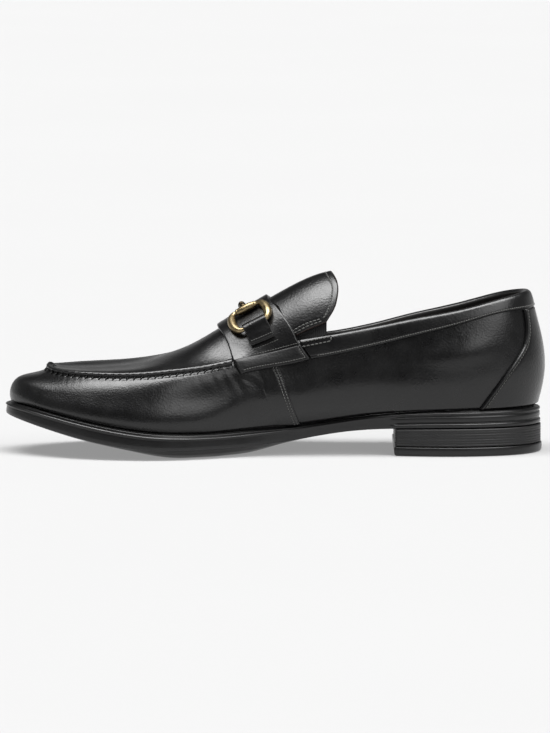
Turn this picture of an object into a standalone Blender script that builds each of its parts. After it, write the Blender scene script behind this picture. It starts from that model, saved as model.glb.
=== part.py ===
"""A right bit loafer: moc-toe upper, tongue, saddle strap, metal bit, sole and block heel.

Metres, +Z up, floor at z = 0.  The toe points to -X and the inner side of the foot faces -Y.
Every soft piece is laid out on one last.  A place on the last is a turn and a level:
the turn runs from 0 at the back of the heel to pi at the toe, negative on the inner side,
and the level runs from 0 at the bottom edge of the upper to 6 on the crest.
"""

import math

import bmesh
import bpy
import numpy as np
from mathutils import Vector

# Driving sizes of the shoe
SOLE_LENGTH = 0.3037
BALL_WIDTH = 0.1015
HEEL_HEIGHT = 0.0266
LAST_HEIGHT = 0.100
HEEL_LENGTH = 0.0841
TOP_LIFT_HEIGHT = 0.0055
CROWN_DEPTH = 0.0058
CROWN_REACH = 0.018

# Thicknesses and clearances
UPPER_WALL = 0.0020
RIDGE_HEIGHT = 0.0013
# How far the front end of the crest lies behind the apron's toe edge
APRON_TOE_LEAD = 0.0024575
STRAP_THICKNESS = 0.0024
BAND_THICKNESS = 0.0013
COUNTER_THICKNESS = 0.0010
TONGUE_THICKNESS = 0.0024
GORE_THICKNESS = 0.0010
INSOLE_THICKNESS = 0.0030
TAB_THICKNESS = 0.0012
CLEARANCE = 0.0003
INSOLE_CLEARANCE = 0.0008

# The metal bit
RING_WIDTH = 0.0214
RING_HEIGHT = 0.0160
RING_ROD_RADIUS = 0.0013
BARREL_RADIUS = 0.0019
BARREL_TAPER = 0.30
RING_STRAIGHT = 0.0152
RING_SHARE = 0.5395
RING_LEVEL = 4.92
OUTER_RING_LEVEL = 4.66
RING_LEAN = 18.0
LINK_ROD_RADIUS = 0.0010
LINK_BEAD_RADIUS = 0.0017
LINK_END_GAP = 0.0008
LINK_END_LEVEL = 5.72
LEVEL_STEP = 0.05
TAB_WIDTH = 0.0140
TAB_LENGTH = 0.0098
TAB_SHIFT = 0.0010
TAB_SEAT = 0.0002

# How finely the lofts are cut
AROUND_COUNT = 34
LEVELS = 6
THROAT_COLUMNS = 7
COLLAR_COLUMNS = 21
HEEL_COLUMNS = 27
INSOLE_COLUMNS = 25

# Outline of the sole, seen from above.
# share: place along the sole from the back of the heel.
# centre, half: middle line and half width there, as shares of the ball width.
OUTLINE = (
    (0.00, 0.000, 0.000),
    (0.02, 0.000, 0.167),
    (0.05, 0.000, 0.246),
    (0.10, 0.000, 0.305),
    (0.15, 0.000, 0.330),
    (0.20, 0.000, 0.330),
    (0.25, 0.007, 0.318),
    (0.30, 0.020, 0.300),
    (0.35, 0.032, 0.288),
    (0.40, 0.044, 0.286),
    (0.45, 0.054, 0.300),
    (0.50, 0.059, 0.335),
    (0.55, 0.052, 0.387),
    (0.60, 0.037, 0.441),
    (0.65, 0.015, 0.483),
    (0.70, -0.007, 0.500),
    (0.75, -0.025, 0.488),
    (0.80, -0.034, 0.458),
    (0.85, -0.039, 0.414),
    (0.90, -0.039, 0.345),
    (0.94, -0.039, 0.271),
    (0.97, -0.039, 0.192),
    (0.99, -0.039, 0.113),
    (1.00, -0.039, 0.000),
)

# Heights along the sole, as shares of the heel height.
# share, lower edge of the side, top of the lip, bottom edge of the upper.
SOLE_HEIGHTS = (
    (0.00, 0.602, 0.947, 1.000),
    (0.06, 0.602, 0.947, 0.993),
    (0.15, 0.602, 0.936, 0.981),
    (0.25, 0.586, 0.902, 0.947),
    (0.30, 0.564, 0.850, 0.891),
    (0.34, 0.530, 0.789, 0.835),
    (0.38, 0.474, 0.714, 0.759),
    (0.42, 0.398, 0.639, 0.688),
    (0.46, 0.316, 0.571, 0.632),
    (0.50, 0.256, 0.526, 0.598),
    (0.56, 0.214, 0.477, 0.560),
    (0.62, 0.203, 0.459, 0.534),
    (0.68, 0.199, 0.477, 0.553),
    (0.72, 0.211, 0.504, 0.580),
    (0.78, 0.274, 0.586, 0.662),
    (0.86, 0.436, 0.752, 0.820),
    (0.93, 0.624, 0.917, 0.985),
    (0.97, 0.740, 1.000, 1.068),
    (1.00, 0.825, 1.045, 1.100),
)

# How far the underside drops toward the middle, as a share of the crown depth.
CROWN = (
    (0.00, 0.00),
    (0.30, 0.00),
    (0.42, 0.05),
    (0.46, 0.18),
    (0.50, 0.50),
    (0.54, 0.86),
    (0.58, 1.00),
    (0.68, 1.00),
    (0.72, 0.78),
    (0.76, 0.50),
    (0.80, 0.32),
    (0.86, 0.22),
    (1.00, 0.10),
)

# Steps of the sole's side, from the bottom corner up to the lip.
# rise: share of the side's height.  heel, waist, fore: inset from the outline, in lip steps.
SIDE_STEPS = (
    (0.00, 1.50, 1.30, 1.10),
    (0.06, 0.90, 0.55, 0.50),
    (0.24, 0.90, 0.35, 0.45),
    (0.35, 1.80, 0.30, 0.50),
    (0.46, 1.15, 0.25, 0.60),
    (0.70, 1.15, 0.20, 0.90),
    (0.79, 1.80, 0.15, 1.05),
    (0.86, 1.00, 0.05, 0.20),
    (1.00, 1.20, 0.20, 0.25),
)
LIP_STEP = 0.0010
LIP_TOP_WIDTH = 0.0012
LIP_TOP_SHARE = 0.55

# Where the sole's side changes: half the change at the heel's breast, and the forepart's start
# and length, as shares of the sole length
BREAST_CHANGE = 0.01
FORE_START = 0.44
FORE_CHANGE = 0.14
BREAST_TURN = 0.03

# Rows of the underside between its side and its middle line
UNDERSIDE_MIDDLE = 0.66
CROWN_ROWS = (0.85, 0.42)
CROWN_INSET_SHARE = 0.60
CROWN_INSET_LEAST = 0.002

# Heights of the last over the bottom edge of the upper, as shares of the last height.
# belly: widest line; wall: where the wall starts to lean in; line: foot of the moc seam, then
# the lower edge of the collar band; edge: edge of the apron, then the collar.
RISES = (
    # share, belly, wall, line, edge
    (0.00, 0.204, 0.354, 0.554, 0.645),
    (0.06, 0.186, 0.346, 0.546, 0.618),
    (0.15, 0.149, 0.309, 0.487, 0.563),
    (0.25, 0.128, 0.288, 0.422, 0.516),
    (0.34, 0.136, 0.276, 0.386, 0.491),
    (0.42, 0.147, 0.277, 0.376, 0.487),
    (0.50, 0.141, 0.281, 0.371, 0.466),
    (0.56, 0.131, 0.271, 0.375, 0.421),
    (0.62, 0.090, 0.228, 0.352, 0.376),
    (0.70, 0.066, 0.198, 0.317, 0.337),
    (0.78, 0.053, 0.172, 0.274, 0.292),
    (0.86, 0.042, 0.143, 0.233, 0.250),
    (0.93, 0.034, 0.115, 0.196, 0.214),
    (0.97, 0.034, 0.114, 0.185, 0.202),
    (1.00, 0.031, 0.114, 0.182, 0.199),
)

# Insets of the same lines from the sole's outline on the inner side, as shares of the ball width.
# A negative inset stands out past the sole.
INNER_INSETS = (
    # share, bottom, belly, wall, line, edge
    (0.00, 0.036, -0.003, 0.009, 0.057, 0.086),
    (0.06, 0.032, -0.003, 0.009, 0.055, 0.087),
    (0.15, 0.024, -0.006, 0.012, 0.055, 0.080),
    (0.25, 0.015, -0.018, 0.002, 0.024, 0.043),
    (0.34, 0.010, -0.054, -0.047, -0.032, -0.014),
    (0.42, 0.010, -0.074, -0.065, -0.051, -0.033),
    (0.50, 0.015, -0.054, -0.041, -0.018, 0.016),
    (0.56, 0.030, -0.010, 0.008, 0.036, 0.074),
    (0.62, 0.041, 0.018, 0.046, 0.095, 0.135),
    (0.70, 0.045, 0.032, 0.066, 0.140, 0.174),
    (0.78, 0.045, 0.034, 0.070, 0.153, 0.184),
    (0.86, 0.041, 0.031, 0.066, 0.157, 0.187),
    (0.93, 0.035, 0.028, 0.056, 0.170, 0.202),
    (0.97, 0.032, 0.026, 0.055, 0.203, 0.236),
    (1.00, 0.030, 0.025, 0.056, 0.243, 0.275),
)

# The same on the outer side.
OUTER_INSETS = (
    # share, bottom, belly, wall, line, edge
    (0.00, 0.036, -0.003, 0.009, 0.057, 0.086),
    (0.06, 0.032, -0.003, 0.009, 0.055, 0.087),
    (0.15, 0.024, -0.006, 0.012, 0.055, 0.080),
    (0.25, 0.020, -0.010, 0.010, 0.036, 0.050),
    (0.34, 0.020, -0.018, 0.000, 0.022, 0.043),
    (0.42, 0.022, -0.020, 0.000, 0.020, 0.042),
    (0.50, 0.030, -0.010, 0.012, 0.038, 0.070),
    (0.56, 0.040, 0.008, 0.034, 0.064, 0.105),
    (0.62, 0.045, 0.022, 0.053, 0.104, 0.145),
    (0.70, 0.045, 0.030, 0.066, 0.144, 0.178),
    (0.78, 0.043, 0.032, 0.068, 0.153, 0.184),
    (0.86, 0.039, 0.030, 0.064, 0.157, 0.187),
    (0.93, 0.035, 0.028, 0.056, 0.170, 0.202),
    (0.97, 0.032, 0.026, 0.055, 0.203, 0.236),
    (1.00, 0.030, 0.025, 0.056, 0.243, 0.275),
)

# The crest of the last and its middle line.
# share, height over the bottom edge as a share of the last height, side shift as a share of the
# ball width.
CREST = (
    (0.00, 0.780, 0.000),
    (0.20, 0.800, 0.000),
    (0.34, 0.820, 0.002),
    (0.38, 0.825, 0.004),
    (0.42, 0.815, 0.005),
    (0.50, 0.719, 0.004),
    (0.56, 0.620, 0.000),
    (0.62, 0.515, -0.006),
    (0.66, 0.446, -0.010),
    (0.70, 0.394, -0.015),
    (0.74, 0.346, -0.020),
    (0.78, 0.310, -0.025),
    (0.82, 0.282, -0.030),
    (0.86, 0.257, -0.034),
    (0.90, 0.239, -0.038),
    (1.00, 0.200, -0.039),
)
APRON_ROUND = 0.76
TOE_POLE = 1.0 - (INNER_INSETS[-1][5] * BALL_WIDTH + APRON_TOE_LEAD) / SOLE_LENGTH
TOE_EASE = 0.80
HEEL_POLE = 0.11
HEEL_EASE = 0.20

# The outer side of the collar is cut lower for the ankle bone.
# share, drop as a share of the last height.
ANKLE_DROP = (
    (0.00, 0.000),
    (0.06, 0.003),
    (0.15, 0.012),
    (0.25, 0.027),
    (0.34, 0.040),
    (0.42, 0.037),
    (0.50, 0.015),
    (0.56, 0.000),
    (1.00, 0.000),
)

# The throat of the upper runs up from the collar to the crest, under the strap.
THROAT_FRONT = 0.535
THROAT_BACK = 0.465
THROAT_LEAD = 0.02
COLLAR_LEVEL = 4.0

# Rows of the upper and how high the moc ridge stands on each, as a share of its height.
UPPER_ROWS = (
    (0.00, 0.0),
    (0.40, 0.0),
    (1.00, 0.0),
    (1.50, 0.0),
    (2.00, 0.0),
    (2.50, 0.0),
    (3.00, 0.0),
    (3.12, 0.8),
    (3.40, 1.0),
    (3.75, 0.9),
    (3.90, 0.1),
    (4.00, 0.0),
    (4.60, 0.0),
    (5.30, 0.0),
    (6.00, 0.0),
)
RIDGE_LEAD = 0.018
RIDGE_BACK = 0.582
RIDGE_FULL = 0.594

# Edges of the saddle strap.  level, share of the front edge, share of the back edge.
STRAP_EDGES = (
    (2.45, 0.5610, 0.4310),
    (3.00, 0.5715, 0.4340),
    (3.50, 0.5752, 0.4450),
    (4.00, 0.5775, 0.4560),
    (4.50, 0.5840, 0.4750),
    (5.00, 0.5930, 0.4945),
    (5.50, 0.6000, 0.5060),
    (6.00, 0.6020, 0.5090),
)
STRAP_FRONT_LEVEL = 2.45
STRAP_BACK_LEVEL = 2.97
STRAP_ACROSS = 12
STRAP_ALONG = 6

# Edges of the tongue.  level, share of its front edge, share of its free edge.
TONGUE_EDGES = (
    (4.15, 0.4610, 0.4090),
    (4.30, 0.4760, 0.4020),
    (4.50, 0.4830, 0.3900),
    (4.75, 0.4880, 0.3825),
    (5.00, 0.4940, 0.3805),
    (5.30, 0.5030, 0.3840),
    (5.60, 0.5120, 0.3890),
    (6.00, 0.5270, 0.3930),
)
TONGUE_FRONT_LEVEL = 4.12
TONGUE_BACK_LEVEL = 4.28
TONGUE_ACROSS = 10
TONGUE_ALONG = 6

# The elastic panel, as shares and levels.
GORE_FRONT = 0.466
GORE_BACK = 0.403
GORE_LOW = 3.70
GORE_HIGH = 4.85

# Front edge of the heel counter.  level, share.
COUNTER_EDGE = (
    (0.05, 0.1170),
    (0.50, 0.1000),
    (0.90, 0.0827),
    (1.50, 0.0560),
    (2.05, 0.0350),
    (2.50, 0.0262),
    (2.97, 0.0233),
)
COUNTER_STEPS = 8
COUNTER_ROWS = 7

# Front edge of the collar band, just behind the strap.  level, share.
BAND_EDGE = (
    (3.00, 0.4315),
    (3.50, 0.4430),
    (4.00, 0.4535),
)
BAND_ROWS = (3.00, 3.50, 4.00)

# The heel block stands in from the sole's outline, with worn edges; the top lift is level with it
HEEL_INSET = 0.0006
HEEL_FOOT_EDGE = 0.0005
HEEL_TOP_EDGE = 0.0006
LIFT_FOOT_INSET = 0.0018
LIFT_FOOT_EDGE = 0.0006
LIFT_EDGE = 0.0005
LIFT_ROUND = 0.0016

# Colours are linear red, green and blue
LEATHER = (0.012, 0.012, 0.013)
RUBBER = (0.018, 0.018, 0.019)
ELASTIC = (0.008, 0.008, 0.009)
LINING = (0.030, 0.026, 0.022)
BRASS = (0.330, 0.250, 0.120)


def smooth_curve(places, values):
    """Return a function that follows a natural cubic curve through the given values."""
    places = np.asarray(places, float)
    values = np.asarray(values, float)
    gaps = np.diff(places)
    count = len(places)
    system = np.eye(count)
    target = np.zeros(count)
    for i in range(1, count - 1):
        system[i, i - 1] = gaps[i - 1]
        system[i, i] = 2.0 * (gaps[i - 1] + gaps[i])
        system[i, i + 1] = gaps[i]
        after = (values[i + 1] - values[i]) / gaps[i]
        before = (values[i] - values[i - 1]) / gaps[i - 1]
        target[i] = 6.0 * (after - before)
    bends = np.linalg.solve(system, target)

    def curve(at):
        at = np.clip(np.asarray(at, float), places[0], places[-1])
        i = np.clip(np.searchsorted(places, at) - 1, 0, count - 2)
        gap = gaps[i]
        low = (places[i + 1] - at) / gap
        high = 1.0 - low
        line = low * values[i] + high * values[i + 1]
        bend = (low**3 - low) * bends[i] + (high**3 - high) * bends[i + 1]
        return line + bend * gap**2 / 6.0

    return curve


def column(table, index, unit=1.0):
    """Smooth curve through one column of a table, over its first column."""
    rows = np.asarray(table, float)
    return smooth_curve(rows[:, 0], rows[:, index] * unit)


def share_to_turn(share):
    """Unsigned turn for a place along the shoe."""
    return np.arccos(1.0 - 2.0 * np.asarray(share, float))


def turn_to_share(turn):
    """Place along the shoe for a turn of either sign."""
    return (1.0 - np.cos(turn)) / 2.0


def ease(value):
    """Smooth step from 0 to 1."""
    value = np.clip(value, 0.0, 1.0)
    return value * value * (3.0 - 2.0 * value)


OUTLINE_ROWS = np.asarray(OUTLINE, float)
outline_centre = column(OUTLINE, 1, BALL_WIDTH)
outline_half = smooth_curve(share_to_turn(OUTLINE_ROWS[:, 0]), OUTLINE_ROWS[:, 2] * BALL_WIDTH)
sole_bottom = column(SOLE_HEIGHTS, 1, HEEL_HEIGHT)
sole_lip = column(SOLE_HEIGHTS, 2, HEEL_HEIGHT)
upper_bottom = column(SOLE_HEIGHTS, 3, HEEL_HEIGHT)
crown_share = column(CROWN, 1)
rise_curves = [column(RISES, i, LAST_HEIGHT) for i in (1, 2, 3, 4)]
inset_curves = {
    -1: [column(INNER_INSETS, i, BALL_WIDTH) for i in (1, 2, 3, 4, 5)],
    1: [column(OUTER_INSETS, i, BALL_WIDTH) for i in (1, 2, 3, 4, 5)],
}
crest_rise = column(CREST, 1, LAST_HEIGHT)
crest_shift = column(CREST, 2, BALL_WIDTH)
ankle_drop = column(ANKLE_DROP, 1, LAST_HEIGHT)

# The upper stands a little past the sole at the back, so the frame is centred on the whole shoe
BACK_OVERHANG = CLEARANCE + COUNTER_THICKNESS - INNER_INSETS[0][2] * BALL_WIDTH
OVERALL_LENGTH = SOLE_LENGTH + BACK_OVERHANG
HEEL_X = OVERALL_LENGTH / 2.0 - BACK_OVERHANG
fine_shares = np.linspace(0.0, 1.0, 2001)
fine_halves = outline_half(share_to_turn(fine_shares))
fine_centres = outline_centre(fine_shares)
SIDE_SHIFT = -(np.max(fine_centres + fine_halves) + np.min(fine_centres - fine_halves)) / 2.0


def spine_share(share):
    """Place on the crest where the section from a place on the outline ends."""
    toe = np.clip((share - TOE_EASE) / (1.0 - TOE_EASE), 0.0, 1.0)
    toe_reach = TOE_POLE - TOE_EASE
    toe_place = TOE_EASE + toe_reach * (1.0 - (1.0 - toe) ** 2)
    heel = np.clip((HEEL_EASE - share) / HEEL_EASE, 0.0, 1.0)
    heel_reach = HEEL_EASE - HEEL_POLE
    heel_place = HEEL_EASE - heel_reach * (1.0 - (1.0 - heel) ** 2)
    middle = np.clip(share, HEEL_EASE, TOE_EASE)
    return np.where(share > TOE_EASE, toe_place, np.where(share < HEEL_EASE, heel_place, middle))


def outline_point(turn):
    """Point of the sole's outline, the direction to the crest and the distance to it."""
    turn = np.asarray(turn, float)
    share = turn_to_share(turn)
    side = np.where(np.sin(turn) < 0.0, -1.0, 1.0)
    half = outline_half(np.arccos(np.clip(1.0 - 2.0 * share, -1.0, 1.0)))
    x = HEEL_X - share * SOLE_LENGTH
    y = outline_centre(share) + side * half + SIDE_SHIFT
    place = spine_share(share)
    spine_x = HEEL_X - place * SOLE_LENGTH
    spine_y = crest_shift(place) + SIDE_SHIFT
    across = np.stack([spine_x - x, spine_y - y], axis=-1)
    reach = np.linalg.norm(across, axis=-1)
    return np.stack([x, y], axis=-1), across / reach[..., None], reach


def last_points(turn, level):
    """Points of the last at the given turns and levels, arrays of one shape."""
    turn, level = np.broadcast_arrays(np.asarray(turn, float), np.asarray(level, float))
    shape = turn.shape
    turn = turn.ravel()
    level = np.clip(level.ravel(), 0.0, LEVELS)
    share = turn_to_share(turn)
    outer = np.sin(turn) >= 0.0
    start, toward, reach = outline_point(turn)
    place = spine_share(share)
    insets = [
        np.where(outer, inset_curves[1][i](share), inset_curves[-1][i](share)) for i in range(5)
    ]
    base = upper_bottom(share)
    rises = [base] + [base + curve(share) for curve in rise_curves]
    drop = np.where(outer, ankle_drop(share), 0.0)
    rises[3] = rises[3] - drop
    rises[4] = rises[4] - drop
    top = upper_bottom(place) + crest_rise(place)
    middle_inset = (insets[4] + reach) / 2.0
    middle_rise = rises[4] + (top - rises[4]) * APRON_ROUND
    knots_d = np.stack(insets + [middle_inset, reach, 2.0 * reach - middle_inset], axis=1)
    knots_z = np.stack(rises + [middle_rise, top, middle_rise], axis=1)
    steps = np.hypot(np.diff(knots_d, axis=1), np.diff(knots_z, axis=1))
    knots_u = np.concatenate([np.zeros((len(turn), 1)), np.cumsum(steps, axis=1)], axis=1)
    d, z = cubic_through(knots_u, knots_d, knots_z, level)
    xy = start + toward * d[:, None]
    return np.concatenate([xy, z[:, None]], axis=1).reshape(shape + (3,))


def cubic_through(knots_u, knots_d, knots_z, level):
    """Natural cubic curve through each row's knots, read at a level between two knots."""
    count, size = knots_u.shape
    gaps = np.diff(knots_u, axis=1)
    system = np.zeros((count, size, size))
    system[:, 0, 0] = 1.0
    system[:, -1, -1] = 1.0
    for i in range(1, size - 1):
        system[:, i, i - 1] = gaps[:, i - 1]
        system[:, i, i] = 2.0 * (gaps[:, i - 1] + gaps[:, i])
        system[:, i, i + 1] = gaps[:, i]
    rows = np.arange(count)
    i = np.clip(level.astype(int), 0, size - 2)
    high = level - i
    low = 1.0 - high
    gap = gaps[rows, i]
    found = []
    for values in (knots_d, knots_z):
        slopes = np.diff(values, axis=1) / gaps
        target = np.zeros((count, size))
        target[:, 1:-1] = 6.0 * np.diff(slopes, axis=1)
        bends = np.linalg.solve(system, target[..., None])[..., 0]
        line = low * values[rows, i] + high * values[rows, i + 1]
        bend = (low**3 - low) * bends[rows, i] + (high**3 - high) * bends[rows, i + 1]
        found.append(line + bend * gap**2 / 6.0)
    return found


def last_normals(turn, level):
    """Outward directions of the last."""
    turn, level = np.broadcast_arrays(np.asarray(turn, float), np.asarray(level, float))
    small = 0.004
    low = np.clip(level - small, 0.0, LEVELS - 2.0 * small)
    along = last_points(turn + small, low + small) - last_points(turn - small, low + small)
    up = last_points(turn, low + 2.0 * small) - last_points(turn, low)
    normals = np.cross(along, up)
    return normals / np.linalg.norm(normals, axis=-1, keepdims=True)


def on_last(turn, level, offset=0.0):
    """Points that stand off the last by an offset."""
    return last_points(turn, level) + last_normals(turn, level) * np.asarray(offset)[..., None]


def make_material(name, colour, roughness, metallic=0.0):
    """Plain material."""
    material = bpy.data.materials.new(name)
    material.use_nodes = True
    shader = material.node_tree.nodes["Principled BSDF"]
    shader.inputs["Base Color"].default_value = (*colour, 1.0)
    shader.inputs["Roughness"].default_value = roughness
    shader.inputs["Metallic"].default_value = metallic
    return material


def add_object(name, mesh_data, material, smooth=True):
    """Add an object with a material of its own to the part's collection."""
    thing = bpy.data.objects.new(name, mesh_data)
    bpy.data.collections["bit_loafer"].objects.link(thing)
    mesh_data.materials.append(material)
    for polygon in mesh_data.polygons:
        polygon.use_smooth = smooth
    return thing


def grid_mesh(name, rows, close_around=False, cap_ends=False):
    """Mesh from rows of points; each row may close on itself and the end rows may be capped."""
    mesh_data = bpy.data.meshes.new(name)
    shape = bmesh.new()
    grid = [[shape.verts.new(point) for point in row] for row in rows]
    count = len(rows[0])
    last_step = count if close_around else count - 1
    for low, high in zip(grid[:-1], grid[1:]):
        for i in range(last_step):
            j = (i + 1) % count
            shape.faces.new((low[i], low[j], high[j], high[i]))
    if cap_ends:
        shape.faces.new(reversed(grid[0]))
        shape.faces.new(grid[-1])
    bmesh.ops.remove_doubles(shape, verts=shape.verts, dist=0.00005)
    bmesh.ops.dissolve_degenerate(shape, edges=shape.edges, dist=0.00002)
    bmesh.ops.triangulate(shape, faces=shape.faces)
    bmesh.ops.recalc_face_normals(shape, faces=shape.faces)
    shape.to_mesh(mesh_data)
    shape.free()
    return mesh_data


def apply_solidify(thing, thickness):
    """Give a sheet its thickness, measured inward from its face."""
    wall = thing.modifiers.new("wall", "SOLIDIFY")
    wall.thickness = thickness
    wall.offset = -1.0
    wall.use_even_offset = True
    wall.use_quality_normals = True


def sheet(name, rows, thickness, material, close_around=False):
    """Piece of leather: a grid of points on its outer face, thickened inward."""
    mesh_data = grid_mesh(name, rows, close_around)
    point_outward(mesh_data)
    thing = add_object(name, mesh_data, material)
    apply_solidify(thing, thickness)
    return thing


def point_outward(mesh_data):
    """Turn every face of a sheet away from the middle line of the shoe."""
    middle = Vector((0.0, SIDE_SHIFT, HEEL_HEIGHT))
    score = 0.0
    for polygon in mesh_data.polygons:
        away = polygon.center - middle
        away.x = 0.0
        score += polygon.area * polygon.normal.dot(away)
    if score < 0.0:
        mesh_data.flip_normals()


def around_turns():
    """Turns of the upper's columns, finer at the throat, from heel to toe and back."""
    even = np.linspace(0.0, math.pi, AROUND_COUNT)
    throat = np.linspace(THROAT_BACK - THROAT_LEAD, THROAT_FRONT, THROAT_COLUMNS)
    throat = share_to_turn(throat)
    ridge = share_to_turn(np.array([RIDGE_BACK - RIDGE_LEAD, RIDGE_BACK, RIDGE_FULL]))
    extra = np.concatenate([throat, ridge])
    kept = even[(even < extra[0]) | (even > extra[-1])]
    half = np.sort(np.concatenate([kept, extra]))
    return np.concatenate([half, -half[-2:0:-1]])


def top_level(share):
    """Level where the upper ends: the collar behind the throat, the crest in front of it."""
    rise = ease((share - THROAT_BACK) / (THROAT_FRONT - THROAT_BACK))
    return COLLAR_LEVEL + (LEVELS - COLLAR_LEVEL) * rise


def make_upper(material):
    """Hollow vamp, quarters and apron with the moc ridge as a step in the wall."""
    turns = around_turns()
    share = turn_to_share(turns)
    fade = ease((share - RIDGE_BACK) / (RIDGE_FULL - RIDGE_BACK))
    rows = []
    for row_level, ridge in UPPER_ROWS:
        over = max(row_level - COLLAR_LEVEL, 0.0) / (LEVELS - COLLAR_LEVEL)
        level = min(row_level, COLLAR_LEVEL) + over * (top_level(share) - COLLAR_LEVEL)
        rows.append(on_last(turns, level, ridge * RIDGE_HEIGHT * fade))
    return sheet("upper", rows, UPPER_WALL, material, close_around=True)


def signed_turn(side, share):
    """Turn on one side of the shoe."""
    return side * share_to_turn(share)


def over_crest(across, level_low):
    """Side and level for a place across the shoe, from -1 on the inner side to 1."""
    side = np.where(across < 0.0, -1.0, 1.0)
    level = LEVELS - np.abs(across) * (LEVELS - level_low)
    return side, level


def make_strap(material):
    """Saddle strap over the instep, from the inner side to the outer."""
    front = column(STRAP_EDGES, 1)
    back = column(STRAP_EDGES, 2)
    across = np.linspace(-1.0, 1.0, 2 * STRAP_ACROSS + 1)
    rows = []
    for along in np.linspace(0.0, 1.0, STRAP_ALONG + 1):
        low = STRAP_FRONT_LEVEL + along * (STRAP_BACK_LEVEL - STRAP_FRONT_LEVEL)
        side, level = over_crest(across, low)
        share = front(level) + along * (back(level) - front(level))
        rows.append(on_last(signed_turn(side, share), level, CLEARANCE + STRAP_THICKNESS))
    return sheet("saddle_strap", rows, STRAP_THICKNESS, material)


def make_tongue(material):
    """Free end of the apron behind the throat."""
    front = column(TONGUE_EDGES, 1)
    back = column(TONGUE_EDGES, 2)
    across = np.linspace(-1.0, 1.0, 2 * TONGUE_ACROSS + 1)
    rows = []
    for along in np.linspace(0.0, 1.0, TONGUE_ALONG + 1):
        low = TONGUE_FRONT_LEVEL + along * (TONGUE_BACK_LEVEL - TONGUE_FRONT_LEVEL)
        side, level = over_crest(across, low)
        share = front(level) + along * (back(level) - front(level))
        rows.append(on_last(signed_turn(side, share), level, 0.0))
    return sheet("tongue", rows, TONGUE_THICKNESS, material)


def make_gore(name, side, material):
    """Elastic panel that joins the tongue to the quarter, inside both."""
    share = np.linspace(GORE_FRONT, GORE_BACK, 5)
    depth = -(TONGUE_THICKNESS + CLEARANCE)
    rows = [
        on_last(signed_turn(side, share), level, depth) for level in np.linspace(GORE_LOW, GORE_HIGH, 4)
    ]
    return sheet(name, rows, GORE_THICKNESS, material)


def make_collar_band(material):
    """Band around the opening, on the outside of the quarters."""
    edge = column(BAND_EDGE, 1)
    rows = []
    for level in BAND_ROWS:
        reach = float(share_to_turn(edge(level)))
        turns = reach * np.linspace(-1.0, 1.0, 2 * COLLAR_COLUMNS + 1)
        rows.append(on_last(turns, level, CLEARANCE + BAND_THICKNESS))
    return sheet("collar_band", rows, BAND_THICKNESS, material)


def make_counter(material):
    """Overlay on the back of the shoe."""
    edge = column(COUNTER_EDGE, 1)
    rows = []
    for level in np.linspace(COUNTER_EDGE[0][0], COUNTER_EDGE[-1][0], COUNTER_ROWS + 1):
        reach = float(share_to_turn(edge(level)))
        turns = reach * np.linspace(-1.0, 1.0, 2 * COUNTER_STEPS + 1)
        rows.append(on_last(turns, level, CLEARANCE + COUNTER_THICKNESS))
    return sheet("heel_counter", rows, COUNTER_THICKNESS, material)


def sole_row(turns, inset, low, high=None, mix=0.0):
    """Row of points inside the sole's outline at a height read from the sole's curves."""
    start, toward, reach = outline_point(turns)
    inset = np.minimum(np.broadcast_to(inset, turns.shape), reach)
    share = turn_to_share(turns)
    place = spine_share(share)
    depth = inset / reach
    height = low(share) * (1.0 - depth) + low(place) * depth
    if high is not None:
        height = height + (high(share) - height) * mix
    xy = start + toward * inset[:, None]
    return np.concatenate([xy, height[:, None]], axis=1)


def side_inset(turns, step):
    """Inset of one step of the sole's side, blended from heel to waist to forepart."""
    share = turn_to_share(turns)
    heel_end = HEEL_LENGTH / SOLE_LENGTH
    waist = ease((share - heel_end + BREAST_CHANGE) / (2.0 * BREAST_CHANGE))
    fore = ease((share - FORE_START) / FORE_CHANGE)
    heel_value, waist_value, fore_value = step[1:]
    back = heel_value + (waist_value - heel_value) * waist
    return (back + (fore_value - back) * fore) * LIP_STEP


def sole_turns():
    """Turns of the sole's columns."""
    half = np.linspace(0.0, math.pi, AROUND_COUNT + 1)
    breast = share_to_turn(HEEL_LENGTH / SOLE_LENGTH)
    extra = np.array([breast - BREAST_TURN, breast, breast + BREAST_TURN])
    kept = half[np.abs(half - breast) > BREAST_TURN + 0.02]
    half = np.sort(np.concatenate([kept, extra]))
    return np.concatenate([half, -half[-2:0:-1]])


def make_outsole(material):
    """Full-length sole: rounded underside, stepped side, lip and flat top."""
    turns = sole_turns()
    share = turn_to_share(turns)
    rows = []
    reach = outline_point(turns)[2]
    for depth in (1.0, UNDERSIDE_MIDDLE):
        rows.append(crown_row(turns, reach * depth))
    for part in CROWN_ROWS:
        most = reach * CROWN_INSET_SHARE * part + CROWN_INSET_LEAST
        rows.append(crown_row(turns, np.minimum(CROWN_REACH * part, most)))
    for step in SIDE_STEPS:
        rows.append(sole_row(turns, side_inset(turns, step), sole_bottom, sole_lip, step[0]))
    outer = np.sin(turns) >= 0.0
    seat = np.where(outer, inset_curves[1][0](share), inset_curves[-1][0](share))
    rows.append(sole_row(turns, np.maximum(seat * LIP_TOP_SHARE, LIP_TOP_WIDTH), sole_lip))
    gap = np.array([0.0, 0.0, CLEARANCE])
    rows.append(sole_row(turns, seat, upper_bottom) - gap)
    rows.append(sole_row(turns, reach, upper_bottom) - gap)
    mesh_data = grid_mesh("outsole", rows, close_around=True)
    return add_object("outsole", mesh_data, material)


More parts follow.
